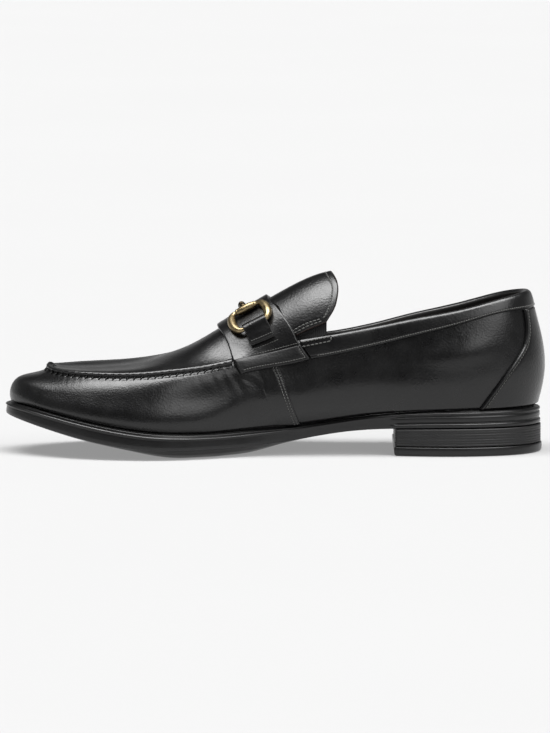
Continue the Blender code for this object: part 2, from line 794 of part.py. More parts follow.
def crown_row(turns, inset):
    """Row of the underside, which drops toward the middle and is flat on the floor."""
    row = sole_row(turns, inset, sole_bottom)
    reach = outline_point(turns)[2]
    share = turn_to_share(turns)
    depth = np.minimum(inset, reach) / reach
    amount = crown_share(share) * (1.0 - depth) + crown_share(spine_share(share)) * depth
    bowl = 1.0 - (1.0 - np.clip(inset / CROWN_REACH, 0.0, 1.0)) ** 2
    row[:, 2] = np.maximum(row[:, 2] - CROWN_DEPTH * amount * bowl, 0.0)
    return row


def heel_rows(steps):
    """Rows of a heel layer.  Each step is an inset and a height or a height curve."""
    breast = HEEL_LENGTH / SOLE_LENGTH
    turns = float(share_to_turn(breast)) * np.linspace(-1.0, 1.0, HEEL_COLUMNS)
    breast_x = HEEL_X - HEEL_LENGTH
    rows = []
    for inset, height in steps:
        start, toward, _ = outline_point(turns)
        xy = start + toward * inset
        xy[:, 0] = np.maximum(xy[:, 0], breast_x + inset)
        z = height(turn_to_share(turns)) if callable(height) else np.full(len(turns), height)
        rows.append(np.concatenate([xy, z[:, None]], axis=1))
    return rows


def make_heel_stack(material):
    """Heel block between the top lift and the sole."""

    def top(share):
        return sole_bottom(share) - CLEARANCE

    def shoulder(share):
        return top(share) - HEEL_TOP_EDGE

    steps = (
        (HEEL_INSET * 1.6, TOP_LIFT_HEIGHT),
        (HEEL_INSET, TOP_LIFT_HEIGHT + HEEL_FOOT_EDGE),
        (HEEL_INSET * 1.4, shoulder),
        (HEEL_INSET * 2.2, top),
    )
    mesh_data = grid_mesh("heel_stack", heel_rows(steps), close_around=True, cap_ends=True)
    return add_object("heel_stack", mesh_data, material, smooth=False)


def make_top_lift(material):
    """Wear piece on the floor."""
    steps = (
        (LIFT_FOOT_INSET, 0.0),
        (LIFT_FOOT_EDGE, LIFT_EDGE),
        (0.0, LIFT_ROUND),
        (0.0, TOP_LIFT_HEIGHT - CLEARANCE - LIFT_EDGE),
        (LIFT_EDGE, TOP_LIFT_HEIGHT - CLEARANCE),
    )
    mesh_data = grid_mesh("top_lift", heel_rows(steps), close_around=True, cap_ends=True)
    return add_object("top_lift", mesh_data, material, smooth=False)


def make_insole(material):
    """Footbed on the sole, inside the upper."""
    half = np.linspace(0.0, math.pi, INSOLE_COLUMNS)
    turns = np.concatenate([half, -half[-2:0:-1]])
    share = turn_to_share(turns)
    outer = np.sin(turns) >= 0.0
    seat = np.where(outer, inset_curves[1][0](share), inset_curves[-1][0](share))
    inset = seat + UPPER_WALL + INSOLE_CLEARANCE
    reach = outline_point(turns)[2]
    rows = [
        sole_row(turns, reach, upper_bottom),
        sole_row(turns, inset, upper_bottom),
        sole_row(turns, inset, upper_bottom) + np.array([0.0, 0.0, INSOLE_THICKNESS]),
        sole_row(turns, reach, upper_bottom) + np.array([0.0, 0.0, INSOLE_THICKNESS]),
    ]
    mesh_data = grid_mesh("insole", rows, close_around=True)
    return add_object("insole", mesh_data, material)


class RingFrame:
    """Place of one ring on the strap: its lower bar, its upper bar and their directions."""

    def __init__(self, side):
        turn = float(signed_turn(side, RING_SHARE))
        level = RING_LEVEL if side < 0 else OUTER_RING_LEVEL
        centre = last_points(turn, level)
        out = last_normals(turn, level)
        up = last_points(turn, level + LEVEL_STEP) - last_points(turn, level - LEVEL_STEP)
        up = up / np.linalg.norm(up)
        along = np.cross(out, up)
        along = along * np.sign(along[0])
        lean = math.radians(RING_LEAN)
        up, along = (
            up * math.cos(lean) - along * math.sin(lean),
            along * math.cos(lean) + up * math.sin(lean),
        )
        self.side = side
        self.centre = centre
        self.out = out
        self.up = up
        self.along = along
        shares = RING_SHARE + np.linspace(-0.05, 0.05, 15)
        levels = np.linspace(3.0, LEVELS, 40)
        turns = signed_turn(side, shares)[None, :] + 0.0 * levels[:, None]
        face = on_last(turns, levels[:, None] + 0.0 * turns, CLEARANCE + STRAP_THICKNESS) - centre
        self.face_along = face @ along
        self.face_up = face @ up
        self.face_out = face @ out
        places = np.linspace(-0.5, 0.5, 4) * TAB_WIDTH + TAB_SHIFT
        low_out = max(self.ground(-RING_HEIGHT / 2.0, place) for place in places)
        low_out += TAB_THICKNESS + 2.0 * CLEARANCE + RING_ROD_RADIUS + TAB_SEAT
        high_out = self.ground(RING_HEIGHT / 2.0) + CLEARANCE * 2.0 + BARREL_RADIUS
        self.low = centre - up * RING_HEIGHT / 2.0 + out * low_out
        self.high = centre + up * RING_HEIGHT / 2.0 + out * high_out
        rise = self.high - self.low
        self.rise = rise / np.linalg.norm(rise)
        self.middle = (self.low + self.high) / 2.0

    def ground(self, height, place=0.0):
        """How far the strap's face stands out at a height and a place along the ring's plane."""
        heights = []
        outs = []
        for along, up, out in zip(self.face_along, self.face_up, self.face_out):
            order = np.argsort(along)
            heights.append(np.interp(place, along[order], up[order]))
            outs.append(np.interp(place, along[order], out[order]))
        order = np.argsort(heights)
        return float(np.interp(height, np.array(heights)[order], np.array(outs)[order]))


def ring_path(frame):
    """Centre line and thickness of a ring: a straight barrel above and a bowed bar below."""
    places = [(wide, 1.0) for wide in np.linspace(-1.0, 1.0, 9)]
    ends = np.linspace(math.pi / 2.0, -math.pi / 2.0, 10)[1:-1]
    places += [(1.0 + math.cos(angle) ** 0.7, math.sin(angle)) for angle in ends]
    places += [(wide, -1.0) for wide in (1.0, 0.0, -1.0)]
    places += [(-1.0 - math.cos(angle) ** 0.7, math.sin(angle)) for angle in ends[::-1]]
    bow = (RING_WIDTH - RING_STRAIGHT) / 2.0
    points = []
    for wide, tall in places:
        past = max(abs(wide) - 1.0, 0.0)
        along = math.copysign(min(abs(wide), 1.0) * RING_STRAIGHT / 2.0 + past * bow, wide)
        up = math.copysign(abs(tall) ** 0.85, tall) * RING_HEIGHT / 2.0
        on_bar = tall == 1.0 and abs(wide) < 0.9
        radius = BARREL_RADIUS * (1.0 - BARREL_TAPER * wide**2) if on_bar else RING_ROD_RADIUS
        points.append((frame.middle + frame.along * along + frame.rise * up, radius))
    return points


def tube(name, points, closed, material, sides=6):
    """Metal rod along a path with a radius at each point."""
    curve = bpy.data.curves.new(name + "_path", "CURVE")
    curve.dimensions = "3D"
    curve.bevel_depth = 1.0
    curve.bevel_resolution = (sides - 4) // 2
    curve.use_fill_caps = not closed
    spline = curve.splines.new("POLY")
    spline.points.add(len(points) - 1)
    for target, (place, radius) in zip(spline.points, points):
        target.co = (*place, 1.0)
        target.radius = radius
    spline.use_cyclic_u = closed
    holder = bpy.data.objects.new(name + "_path", curve)
    bpy.data.collections["bit_loafer"].objects.link(holder)
    bpy.context.view_layer.update()
    evaluated = holder.evaluated_get(bpy.context.evaluated_depsgraph_get())
    mesh_data = bpy.data.meshes.new_from_object(evaluated)
    mesh_data.name = name
    mesh_data.materials.clear()
    bpy.data.objects.remove(holder)
    bpy.data.curves.remove(curve)
    shape = bmesh.new()
    shape.from_mesh(mesh_data)
    bmesh.ops.remove_doubles(shape, verts=shape.verts, dist=0.00001)
    bmesh.ops.recalc_face_normals(shape, faces=shape.faces)
    shape.to_mesh(mesh_data)
    shape.free()
    return add_object(name, mesh_data, material)


def make_ring(name, frame, material):
    """One ring of the bit."""
    return tube(name, ring_path(frame), True, material, sides=8)


def make_link(frames, material):
    """Beaded bar that joins the two rings over the crest."""
    inner, outer = frames
    share = (HEEL_X - (inner.high[0] + outer.high[0]) / 2.0) / SOLE_LENGTH
    lift = STRAP_THICKNESS + 2.0 * CLEARANCE + LINK_BEAD_RADIUS
    points = []
    for step in np.linspace(-1.0, 1.0, 25):
        frame = inner if step < 0.0 else outer
        along = abs(step)
        inward = np.array([0.0, -frame.side, 0.0])
        end = frame.high + inward * (BARREL_RADIUS + LINK_END_GAP)
        level = LEVELS - along * (LEVELS - LINK_END_LEVEL)
        over = on_last(float(signed_turn(frame.side, share)), level, lift)
        blend = float(ease((along - 0.5) / 0.5))
        place = over * (1.0 - blend) + end * blend
        bead = max(0.0, math.cos(step * math.pi * 3.5)) ** 0.5 if along < 0.42 else 0.0
        radius = LINK_ROD_RADIUS + (LINK_BEAD_RADIUS - LINK_ROD_RADIUS) * bead
        points.append((place, radius))
    return tube("bit_link", points, False, material, sides=8)


def make_tab(name, frame, material):
    """Leather keeper folded around the lower bar of a ring and sewn to the strap."""
    hole = RING_ROD_RADIUS + CLEARANCE
    fold = hole + TAB_THICKNESS
    low_up = -RING_HEIGHT / 2.0
    low_out = float((frame.low - frame.centre) @ frame.out)
    angles = 2.0 * math.pi * np.arange(12) / 12
    inner_loop = [(low_up + hole * math.cos(a), low_out + hole * math.sin(a)) for a in angles]
    round_loop = [(low_up + fold * math.cos(a), low_out + fold * math.sin(a)) for a in angles]
    tail = low_up - TAB_LENGTH
    waist = low_up - TAB_LENGTH * 0.55
    sections = []
    seat = CLEARANCE + TAB_SEAT
    for place in np.linspace(-0.5, 0.5, 4) * TAB_WIDTH + TAB_SHIFT:
        outer_loop = list(round_loop)
        outer_loop[4] = (waist, frame.ground(waist, place) + seat + 2.6 * TAB_THICKNESS)
        outer_loop[5] = (tail, frame.ground(tail, place) + seat + 2.0 * TAB_THICKNESS)
        outer_loop[6] = (tail - 0.0003, frame.ground(tail, place) + seat + TAB_THICKNESS)
        outer_loop[7] = (tail, frame.ground(tail, place) + seat)
        outer_loop[8] = (waist, frame.ground(waist, place) + seat)
        sections.append((place, outer_loop, inner_loop))
    rows = [place_loop(frame, place, outer) for place, outer, _ in sections]
    rows += [place_loop(frame, place, inner) for place, _, inner in reversed(sections)]
    rows.append(rows[0])
    mesh_data = grid_mesh(name, rows, close_around=True)
    return add_object(name, mesh_data, material, smooth=False)


def place_loop(frame, place, loop):
    """Points of a loop across the ring's lower bar, at a place along it."""
    start = frame.centre + frame.along * place
    return [start + frame.up * up + frame.out * out for up, out in loop]


def clear_scene():
    """Start from an empty file with the part's collection."""
    for thing in list(bpy.data.objects):
        bpy.data.objects.remove(thing)
    collection = bpy.data.collections.new("bit_loafer")
    bpy.context.scene.collection.children.link(collection)


def main():
    """Build every piece of the shoe."""
    clear_scene()
    make_upper(make_material("upper_leather", LEATHER, 0.38))
    make_tongue(make_material("tongue_leather", LEATHER, 0.38))
    make_strap(make_material("strap_leather", LEATHER, 0.38))
    make_collar_band(make_material("collar_leather", LEATHER, 0.40))
    make_counter(make_material("counter_leather", LEATHER, 0.38))
    make_outsole(make_material("outsole_rubber", RUBBER, 0.60))
    make_heel_stack(make_material("stack_rubber", RUBBER, 0.55))
    make_top_lift(make_material("top_lift_rubber", RUBBER, 0.65))
    make_insole(make_material("insole_lining", LINING, 0.70))
    frames = (RingFrame(-1), RingFrame(1))
    for frame, word in zip(frames, ("inner", "outer")):
        make_gore("gore_" + word, frame.side, make_material("elastic_" + word, ELASTIC, 0.90))
        make_ring("ring_" + word, frame, make_material("brass_" + word, BRASS, 0.35, 1.0))
        make_tab("tab_" + word, frame, make_material("tab_leather_" + word, LEATHER, 0.38))
    make_link(frames, make_material("brass_link", BRASS, 0.35, 1.0))


main()
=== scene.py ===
"""Looks of a right bit loafer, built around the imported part.

Metres, +Z up, floor at z = 0.  The toe points to -X and the inner side of the foot faces -Y.
Every soft piece is laid out on one last, as in the part's own source.  A place on the last is
a turn and a level: the turn runs from 0 at the back of the heel to pi at the toe, negative on
the inner side, and the level runs from 0 at the bottom edge of the upper to 6 on the crest.
"""

import logging
import math
from collections.abc import Callable
from dataclasses import dataclass, field, replace
from enum import Enum

import bmesh
import bpy
import numpy as np
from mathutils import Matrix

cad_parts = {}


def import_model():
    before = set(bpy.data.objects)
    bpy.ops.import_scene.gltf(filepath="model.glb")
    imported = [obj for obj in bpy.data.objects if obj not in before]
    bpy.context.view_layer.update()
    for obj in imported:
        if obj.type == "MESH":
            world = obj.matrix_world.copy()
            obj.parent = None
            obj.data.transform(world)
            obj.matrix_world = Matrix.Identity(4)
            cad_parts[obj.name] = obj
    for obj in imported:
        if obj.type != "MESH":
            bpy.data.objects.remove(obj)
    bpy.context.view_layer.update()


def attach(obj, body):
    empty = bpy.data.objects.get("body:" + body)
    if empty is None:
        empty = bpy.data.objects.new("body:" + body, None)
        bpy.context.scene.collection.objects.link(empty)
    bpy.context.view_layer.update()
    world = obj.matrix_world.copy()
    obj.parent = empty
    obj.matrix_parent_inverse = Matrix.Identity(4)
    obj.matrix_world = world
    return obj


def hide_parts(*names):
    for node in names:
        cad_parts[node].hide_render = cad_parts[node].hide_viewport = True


Array = np.ndarray
Curve = Callable[[Array], Array]
LOG = logging.getLogger("bit_loafer")
MM = 0.001
JOIN_DISTANCE = 0.000004
LEAST_EDGE = 0.000002

# Outline of the sole, seen from above.
# share: place along the sole from the back of the heel.
# centre, half: middle line and half width there, as shares of the ball width.
OUTLINE = (
    (0.00, 0.000, 0.000),
    (0.02, 0.000, 0.167),
    (0.05, 0.000, 0.246),
    (0.10, 0.000, 0.305),
    (0.15, 0.000, 0.330),
    (0.20, 0.000, 0.330),
    (0.25, 0.007, 0.318),
    (0.30, 0.020, 0.300),
    (0.35, 0.032, 0.288),
    (0.40, 0.044, 0.286),
    (0.45, 0.054, 0.300),
    (0.50, 0.059, 0.335),
    (0.55, 0.052, 0.387),
    (0.60, 0.037, 0.441),
    (0.65, 0.015, 0.483),
    (0.70, -0.007, 0.500),
    (0.75, -0.025, 0.488),
    (0.80, -0.034, 0.458),
    (0.85, -0.039, 0.414),
    (0.90, -0.039, 0.345),
    (0.94, -0.039, 0.271),
    (0.97, -0.039, 0.192),
    (0.99, -0.039, 0.113),
    (1.00, -0.039, 0.000),
)

# Heights along the sole, as shares of the heel height.
# share, lower edge of the side, top of the lip, bottom edge of the upper.
SOLE_HEIGHTS = (
    (0.00, 0.602, 0.947, 1.000),
    (0.06, 0.602, 0.947, 0.993),
    (0.15, 0.602, 0.936, 0.981),
    (0.25, 0.586, 0.902, 0.947),
    (0.30, 0.564, 0.850, 0.891),
    (0.34, 0.530, 0.789, 0.835),
    (0.38, 0.474, 0.714, 0.759),
    (0.42, 0.398, 0.639, 0.688),
    (0.46, 0.316, 0.571, 0.632),
    (0.50, 0.256, 0.526, 0.598),
    (0.56, 0.214, 0.477, 0.560),
    (0.62, 0.203, 0.459, 0.534),
    (0.68, 0.199, 0.477, 0.553),
    (0.72, 0.211, 0.504, 0.580),
    (0.78, 0.274, 0.586, 0.662),
    (0.86, 0.436, 0.752, 0.820),
    (0.93, 0.624, 0.917, 0.985),
    (0.97, 0.740, 1.000, 1.068),
    (1.00, 0.825, 1.045, 1.100),
)

# How far the underside drops toward the middle, as a share of the crown depth.
CROWN = (
    (0.00, 0.00),
    (0.30, 0.00),
    (0.42, 0.05),
    (0.46, 0.18),
    (0.50, 0.50),
    (0.54, 0.86),
    (0.58, 1.00),
    (0.68, 1.00),
    (0.72, 0.78),
    (0.76, 0.50),
    (0.80, 0.32),
    (0.86, 0.22),
    (1.00, 0.10),
)

# Heights of the last over the bottom edge of the upper, as shares of the last height.
# belly: widest line; wall: where the wall starts to lean in; line: foot of the moc seam, then
# the lower edge of the collar band; edge: edge of the apron, then the collar.
RISES = (
    # share, belly, wall, line, edge
    (0.00, 0.204, 0.354, 0.554, 0.645),
    (0.06, 0.186, 0.346, 0.546, 0.618),
    (0.15, 0.149, 0.309, 0.487, 0.563),
    (0.25, 0.128, 0.288, 0.422, 0.516),
    (0.34, 0.136, 0.276, 0.386, 0.491),
    (0.42, 0.147, 0.277, 0.376, 0.487),
    (0.50, 0.141, 0.281, 0.371, 0.466),
    (0.56, 0.131, 0.271, 0.375, 0.421),
    (0.62, 0.090, 0.228, 0.352, 0.376),
    (0.70, 0.066, 0.198, 0.317, 0.337),
    (0.78, 0.053, 0.172, 0.274, 0.292),
    (0.86, 0.042, 0.143, 0.233, 0.250),
    (0.93, 0.034, 0.115, 0.196, 0.214),
    (0.97, 0.034, 0.114, 0.185, 0.202),
    (1.00, 0.031, 0.114, 0.182, 0.199),
)

# Insets of the same lines from the sole's outline on the inner side, as shares of the ball width.
# A negative inset stands out past the sole.
INNER_INSETS = (
    # share, bottom, belly, wall, line, edge
    (0.00, 0.036, -0.003, 0.009, 0.057, 0.086),
    (0.06, 0.032, -0.003, 0.009, 0.055, 0.087),
    (0.15, 0.024, -0.006, 0.012, 0.055, 0.080),
    (0.25, 0.015, -0.018, 0.002, 0.024, 0.043),
    (0.34, 0.010, -0.054, -0.047, -0.032, -0.014),
    (0.42, 0.010, -0.074, -0.065, -0.051, -0.033),
    (0.50, 0.015, -0.054, -0.041, -0.018, 0.016),
    (0.56, 0.030, -0.010, 0.008, 0.036, 0.074),
    (0.62, 0.041, 0.018, 0.046, 0.095, 0.135),
    (0.70, 0.045, 0.032, 0.066, 0.140, 0.174),
    (0.78, 0.045, 0.034, 0.070, 0.153, 0.184),
    (0.86, 0.041, 0.031, 0.066, 0.157, 0.187),
    (0.93, 0.035, 0.028, 0.056, 0.170, 0.202),
    (0.97, 0.032, 0.026, 0.055, 0.203, 0.236),
    (1.00, 0.030, 0.025, 0.056, 0.243, 0.275),
)

# The same on the outer side.
OUTER_INSETS = (
    # share, bottom, belly, wall, line, edge
    (0.00, 0.036, -0.003, 0.009, 0.057, 0.086),
    (0.06, 0.032, -0.003, 0.009, 0.055, 0.087),
    (0.15, 0.024, -0.006, 0.012, 0.055, 0.080),
    (0.25, 0.020, -0.010, 0.010, 0.036, 0.050),
    (0.34, 0.020, -0.018, 0.000, 0.022, 0.043),
    (0.42, 0.022, -0.020, 0.000, 0.020, 0.042),
    (0.50, 0.030, -0.010, 0.012, 0.038, 0.070),
    (0.56, 0.040, 0.008, 0.034, 0.064, 0.105),
    (0.62, 0.045, 0.022, 0.053, 0.104, 0.145),
    (0.70, 0.045, 0.030, 0.066, 0.144, 0.178),
    (0.78, 0.043, 0.032, 0.068, 0.153, 0.184),
    (0.86, 0.039, 0.030, 0.064, 0.157, 0.187),
    (0.93, 0.035, 0.028, 0.056, 0.170, 0.202),
    (0.97, 0.032, 0.026, 0.055, 0.203, 0.236),
    (1.00, 0.030, 0.025, 0.056, 0.243, 0.275),
)

# The crest of the last and its middle line.
# share, height over the bottom edge as a share of the last height, side shift as a share of the
# ball width.
CREST = (
    (0.00, 0.780, 0.000),
    (0.20, 0.800, 0.000),
    (0.34, 0.820, 0.002),
    (0.38, 0.825, 0.004),
    (0.42, 0.815, 0.005),
    (0.50, 0.719, 0.004),
    (0.56, 0.620, 0.000),
    (0.62, 0.515, -0.006),
    (0.66, 0.446, -0.010),
    (0.70, 0.394, -0.015),
    (0.74, 0.346, -0.020),
    (0.78, 0.310, -0.025),
    (0.82, 0.282, -0.030),
    (0.86, 0.257, -0.034),
    (0.90, 0.239, -0.038),
    (1.00, 0.200, -0.039),
)
APRON_ROUND = 0.76
TOE_POLE = 0.90
TOE_EASE = 0.80
HEEL_POLE = 0.11
HEEL_EASE = 0.20

# The outer side of the collar is cut lower for the ankle bone.
# share, drop as a share of the last height.
ANKLE_DROP = (
    (0.00, 0.000),
    (0.06, 0.003),
    (0.15, 0.012),
    (0.25, 0.027),
    (0.34, 0.040),
    (0.42, 0.037),
    (0.50, 0.015),
    (0.56, 0.000),
    (1.00, 0.000),
)

# Edges of the saddle strap.  level, share of the front edge, share of the back edge.
STRAP_EDGES = (
    (2.45, 0.5610, 0.4310),
    (3.00, 0.5715, 0.4340),
    (3.50, 0.5752, 0.4450),
    (4.00, 0.5775, 0.4560),
    (4.50, 0.5840, 0.4750),
    (5.00, 0.5930, 0.4945),
    (5.50, 0.6000, 0.5060),
    (6.00, 0.6020, 0.5090),
)

# Edges of the tongue.  level, share of its front edge, share of its free edge.
TONGUE_EDGES = (
    (4.15, 0.4610, 0.4090),
    (4.30, 0.4760, 0.4020),
    (4.50, 0.4830, 0.3900),
    (4.75, 0.4880, 0.3825),
    (5.00, 0.4940, 0.3805),
    (5.30, 0.5030, 0.3840),
    (5.60, 0.5120, 0.3890),
    (6.00, 0.5270, 0.3930),
)

# Front edge of the heel counter.  level, share.
COUNTER_EDGE = (
    (0.05, 0.1170),
    (0.50, 0.1000),
    (0.90, 0.0827),
    (1.50, 0.0560),
    (2.05, 0.0350),
    (2.50, 0.0262),
    (2.97, 0.0233),
)

# Front edge of the collar band, just behind the strap.  level, share.
BAND_EDGE = (
    (3.00, 0.4315),
    (3.50, 0.4430),
    (4.00, 0.4535),
)


def smooth_curve(places: Array, values: Array) -> Curve:
    """Natural cubic curve through the given values.

    Args:
        places: Where the values stand, rising.
        values: The values.

    Returns:
        A function that reads the curve at any places.
    """
    places = np.asarray(places, float)
    values = np.asarray(values, float)
    gaps = np.diff(places)
    count = len(places)
    system = np.eye(count)
    target = np.zeros(count)
    for i in range(1, count - 1):
        system[i, i - 1 : i + 2] = gaps[i - 1], 2.0 * (gaps[i - 1] + gaps[i]), gaps[i]
        after = (values[i + 1] - values[i]) / gaps[i]
        before = (values[i] - values[i - 1]) / gaps[i - 1]
        target[i] = 6.0 * (after - before)
    bends = np.linalg.solve(system, target)

    def curve(at: Array) -> Array:
        """Read the curve."""
        at = np.clip(np.asarray(at, float), places[0], places[-1])
        i = np.clip(np.searchsorted(places, at) - 1, 0, count - 2)
        gap = gaps[i]
        low = (places[i + 1] - at) / gap
        high = 1.0 - low
        line = low * values[i] + high * values[i + 1]
        bend = (low**3 - low) * bends[i] + (high**3 - high) * bends[i + 1]
        return line + bend * gap**2 / 6.0

    return curve


def column(table: tuple, index: int, unit: float = 1.0) -> Curve:
    """Smooth curve through one column of a table, over its first column.

    Args:
        table: Rows of numbers.
        index: The column to read.
        unit: Size that the column's shares are taken of.

    Returns:
        The curve.
    """
    rows = np.asarray(table, float)
    return smooth_curve(rows[:, 0], rows[:, index] * unit)


def ease(value: Array) -> Array:
    """Smooth step from 0 to 1."""
    value = np.clip(value, 0.0, 1.0)
    return value * value * (3.0 - 2.0 * value)


def share_to_turn(share: Array) -> Array:
    """Unsigned turn for a place along the shoe."""
    return np.arccos(np.clip(1.0 - 2.0 * np.asarray(share, float), -1.0, 1.0))


def turn_to_share(turn: Array) -> Array:
    """Place along the shoe for a turn of either sign."""
    return (1.0 - np.cos(turn)) / 2.0


def both_sides(half: Array) -> Array:
    """Turns round the whole shoe, from those of its outer side."""
    return np.concatenate([half, -half[-2:0:-1]])


def strip_share(table: tuple, level: Array, along: Array) -> Array:
    """Place along the shoe on a strip over the crest, from its front edge at 0 to its back at 1."""
    front = column(table, 1)(level)
    return front + along * (column(table, 2)(level) - front)


def side_name(base: str, side: int) -> str:
    """Name of a piece that stands on one side of the shoe."""
    return base + ("_inner" if side < 0 else "_outer")


def arc_lengths(points: Array) -> Array:
    """Running length along the first axis of a grid or a path of points."""
    steps = np.linalg.norm(np.diff(points, axis=0), axis=-1)
    return np.concatenate([np.zeros((1,) + steps.shape[1:]), np.cumsum(steps, axis=0)])


def edge_spaced(count: int, length: float, radius: float, fine: float = 0.0) -> Array:
    """Places from 0 to 1 that crowd toward both ends, so that an edge can be rounded.

    Args:
        count: Places in the even middle run.
        length: Real length that the places span.
        radius: Radius of the rounded edge.
        fine: Width beside each edge that is cut every 0.4 mm, for the grooves of stitches.

    Returns:
        The places.
    """
    border = list(radius * (1.0 - np.cos(np.linspace(0.0, math.pi / 2.0, 5))))
    border += list(np.arange(radius + 0.0004, fine, 0.0004))
    border = np.array(border)
    middle = np.linspace(border[-1], length - border[-1], count)[1:-1]
    return np.concatenate([border, middle, (length - border)[::-1]]) / length


@dataclass
class Last:
    """The last of the shoe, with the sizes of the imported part."""

    sole_length: float = 0.3037
    ball_width: float = 0.1015
    heel_height: float = 0.0266
    last_height: float = 0.100
    heel_length: float = 0.0841
    crown_depth: float = 0.0058
    crown_reach: float = 0.018
    clearance: float = 0.0003
    counter_thickness: float = 0.0010
    levels: int = 6
    heel_x: float = field(init=False)
    side_shift: float = field(init=False)

    def __post_init__(self) -> None:
        """Work out the curves of the last from its tables."""
        rows = np.asarray(OUTLINE, float)
        self.centre = column(OUTLINE, 1, self.ball_width)
        self.half = smooth_curve(share_to_turn(rows[:, 0]), rows[:, 2] * self.ball_width)
        self.sole_bottom = column(SOLE_HEIGHTS, 1, self.heel_height)
        self.sole_lip = column(SOLE_HEIGHTS, 2, self.heel_height)
        self.upper_bottom = column(SOLE_HEIGHTS, 3, self.heel_height)
        self.crown = column(CROWN, 1)
        self.rises = [column(RISES, i, self.last_height) for i in (1, 2, 3, 4)]
        self.insets = {
            -1: [column(INNER_INSETS, i, self.ball_width) for i in (1, 2, 3, 4, 5)],
            1: [column(OUTER_INSETS, i, self.ball_width) for i in (1, 2, 3, 4, 5)],
        }
        self.crest_rise = column(CREST, 1, self.last_height)
        self.crest_shift = column(CREST, 2, self.ball_width)
        self.ankle_drop = column(ANKLE_DROP, 1, self.last_height)
        cover = self.clearance + self.counter_thickness
        overhang = cover - INNER_INSETS[0][2] * self.ball_width
        self.heel_x = (self.sole_length + overhang) / 2.0 - overhang
        shares = np.linspace(0.0, 1.0, 2001)
        halves = self.half(share_to_turn(shares))
        middle = self.centre(shares)
        self.side_shift = -(np.max(middle + halves) + np.min(middle - halves)) / 2.0

    def seat(self, turns: Array) -> Array:
        """Inset of the upper's bottom edge from the sole's outline."""
        share = turn_to_share(turns)
        outer = np.sin(turns) >= 0.0
        return np.where(outer, self.insets[1][0](share), self.insets[-1][0](share))

    def spine_share(self, share: Array) -> Array:
        """Place on the crest where the section from a place on the outline ends."""
        toe = np.clip((share - TOE_EASE) / (1.0 - TOE_EASE), 0.0, 1.0)
        toe_place = TOE_EASE + (TOE_POLE - TOE_EASE) * (1.0 - (1.0 - toe) ** 2)
        heel = np.clip((HEEL_EASE - share) / HEEL_EASE, 0.0, 1.0)
        heel_place = HEEL_EASE - (HEEL_EASE - HEEL_POLE) * (1.0 - (1.0 - heel) ** 2)
        middle = np.clip(share, HEEL_EASE, TOE_EASE)
        behind_toe = np.where(share < HEEL_EASE, heel_place, middle)
        return np.where(share > TOE_EASE, toe_place, behind_toe)

    def outline_point(self, turn: Array) -> tuple[Array, Array, Array]:
        """Points of the sole's outline.

        Args:
            turn: Turns of the points.

        Returns:
            The points, the directions to the crest and the distances to it.
        """
        turn = np.asarray(turn, float)
        share = turn_to_share(turn)
        side = np.where(np.sin(turn) < 0.0, -1.0, 1.0)
        x = self.heel_x - share * self.sole_length
        y = self.centre(share) + side * self.half(share_to_turn(share)) + self.side_shift
        place = self.spine_share(share)
        spine_x = self.heel_x - place * self.sole_length
        spine_y = self.crest_shift(place) + self.side_shift
        across = np.stack([spine_x - x, spine_y - y], axis=-1)
        reach = np.linalg.norm(across, axis=-1)
        return np.stack([x, y], axis=-1), across / reach[..., None], reach

    def points(self, turn: Array, level: Array) -> Array:
        """Points of the last at the given turns and levels.

        Args:
            turn: Turns.
            level: Levels.

        Returns:
            Points, in the shape of the two arrays broadcast together.
        """
        turn, level = np.broadcast_arrays(np.asarray(turn, float), np.asarray(level, float))
        shape = turn.shape
        turn = turn.ravel()
        level = np.clip(level.ravel(), 0.0, self.levels)
        share = turn_to_share(turn)
        outer = np.sin(turn) >= 0.0
        start, toward, reach = self.outline_point(turn)
        place = self.spine_share(share)
        insets = [
            np.where(outer, self.insets[1][i](share), self.insets[-1][i](share)) for i in range(5)
        ]
        base = self.upper_bottom(share)
        rises = [base] + [base + curve(share) for curve in self.rises]
        drop = np.where(outer, self.ankle_drop(share), 0.0)
        rises[3] = rises[3] - drop
        rises[4] = rises[4] - drop
        top = self.upper_bottom(place) + self.crest_rise(place)
        middle_inset = (insets[4] + reach) / 2.0
        middle_rise = rises[4] + (top - rises[4]) * APRON_ROUND
        knots_d = np.stack(insets + [middle_inset, reach, 2.0 * reach - middle_inset], axis=1)
        knots_z = np.stack(rises + [middle_rise, top, middle_rise], axis=1)
        d, z = cubic_through(knots_d, knots_z, level)
        xy = start + toward * d[:, None]
        return np.concatenate([xy, z[:, None]], axis=1).reshape(shape + (3,))

    def normals(self, turn: Array, level: Array) -> Array:
        """Outward directions of the last at the given turns and levels."""
        turn, level = np.broadcast_arrays(np.asarray(turn, float), np.asarray(level, float))
        small = 0.004
        low = np.clip(level - small, 0.0, self.levels - 2.0 * small)
        along = self.points(turn + small, low + small) - self.points(turn - small, low + small)
        up = self.points(turn, low + 2.0 * small) - self.points(turn, low)
        normals = np.cross(along, up)
        return normals / np.linalg.norm(normals, axis=-1, keepdims=True)

    def off(self, turn: Array, level: Array, offset: Array = 0.0) -> Array:
        """Points that stand off the last by an offset."""
        return self.points(turn, level) + self.normals(turn, level) * np.asarray(offset)[..., None]

    def path(
        self, side: int, share: Array, level: Array, offset: Array = 0.0
    ) -> tuple[Array, Array]:
        """Path over one side of the last.

        Args:
            side: -1 for the inner side, 1 for the outer.
            share: Places along the shoe.
            level: Levels.
            offset: How far the path stands off the last.

        Returns:
            The points and the outward directions there.
        """
        turn = side * share_to_turn(share)
        normals = self.normals(turn, level)
        return self.points(turn, level) + normals * np.asarray(offset)[..., None], normals

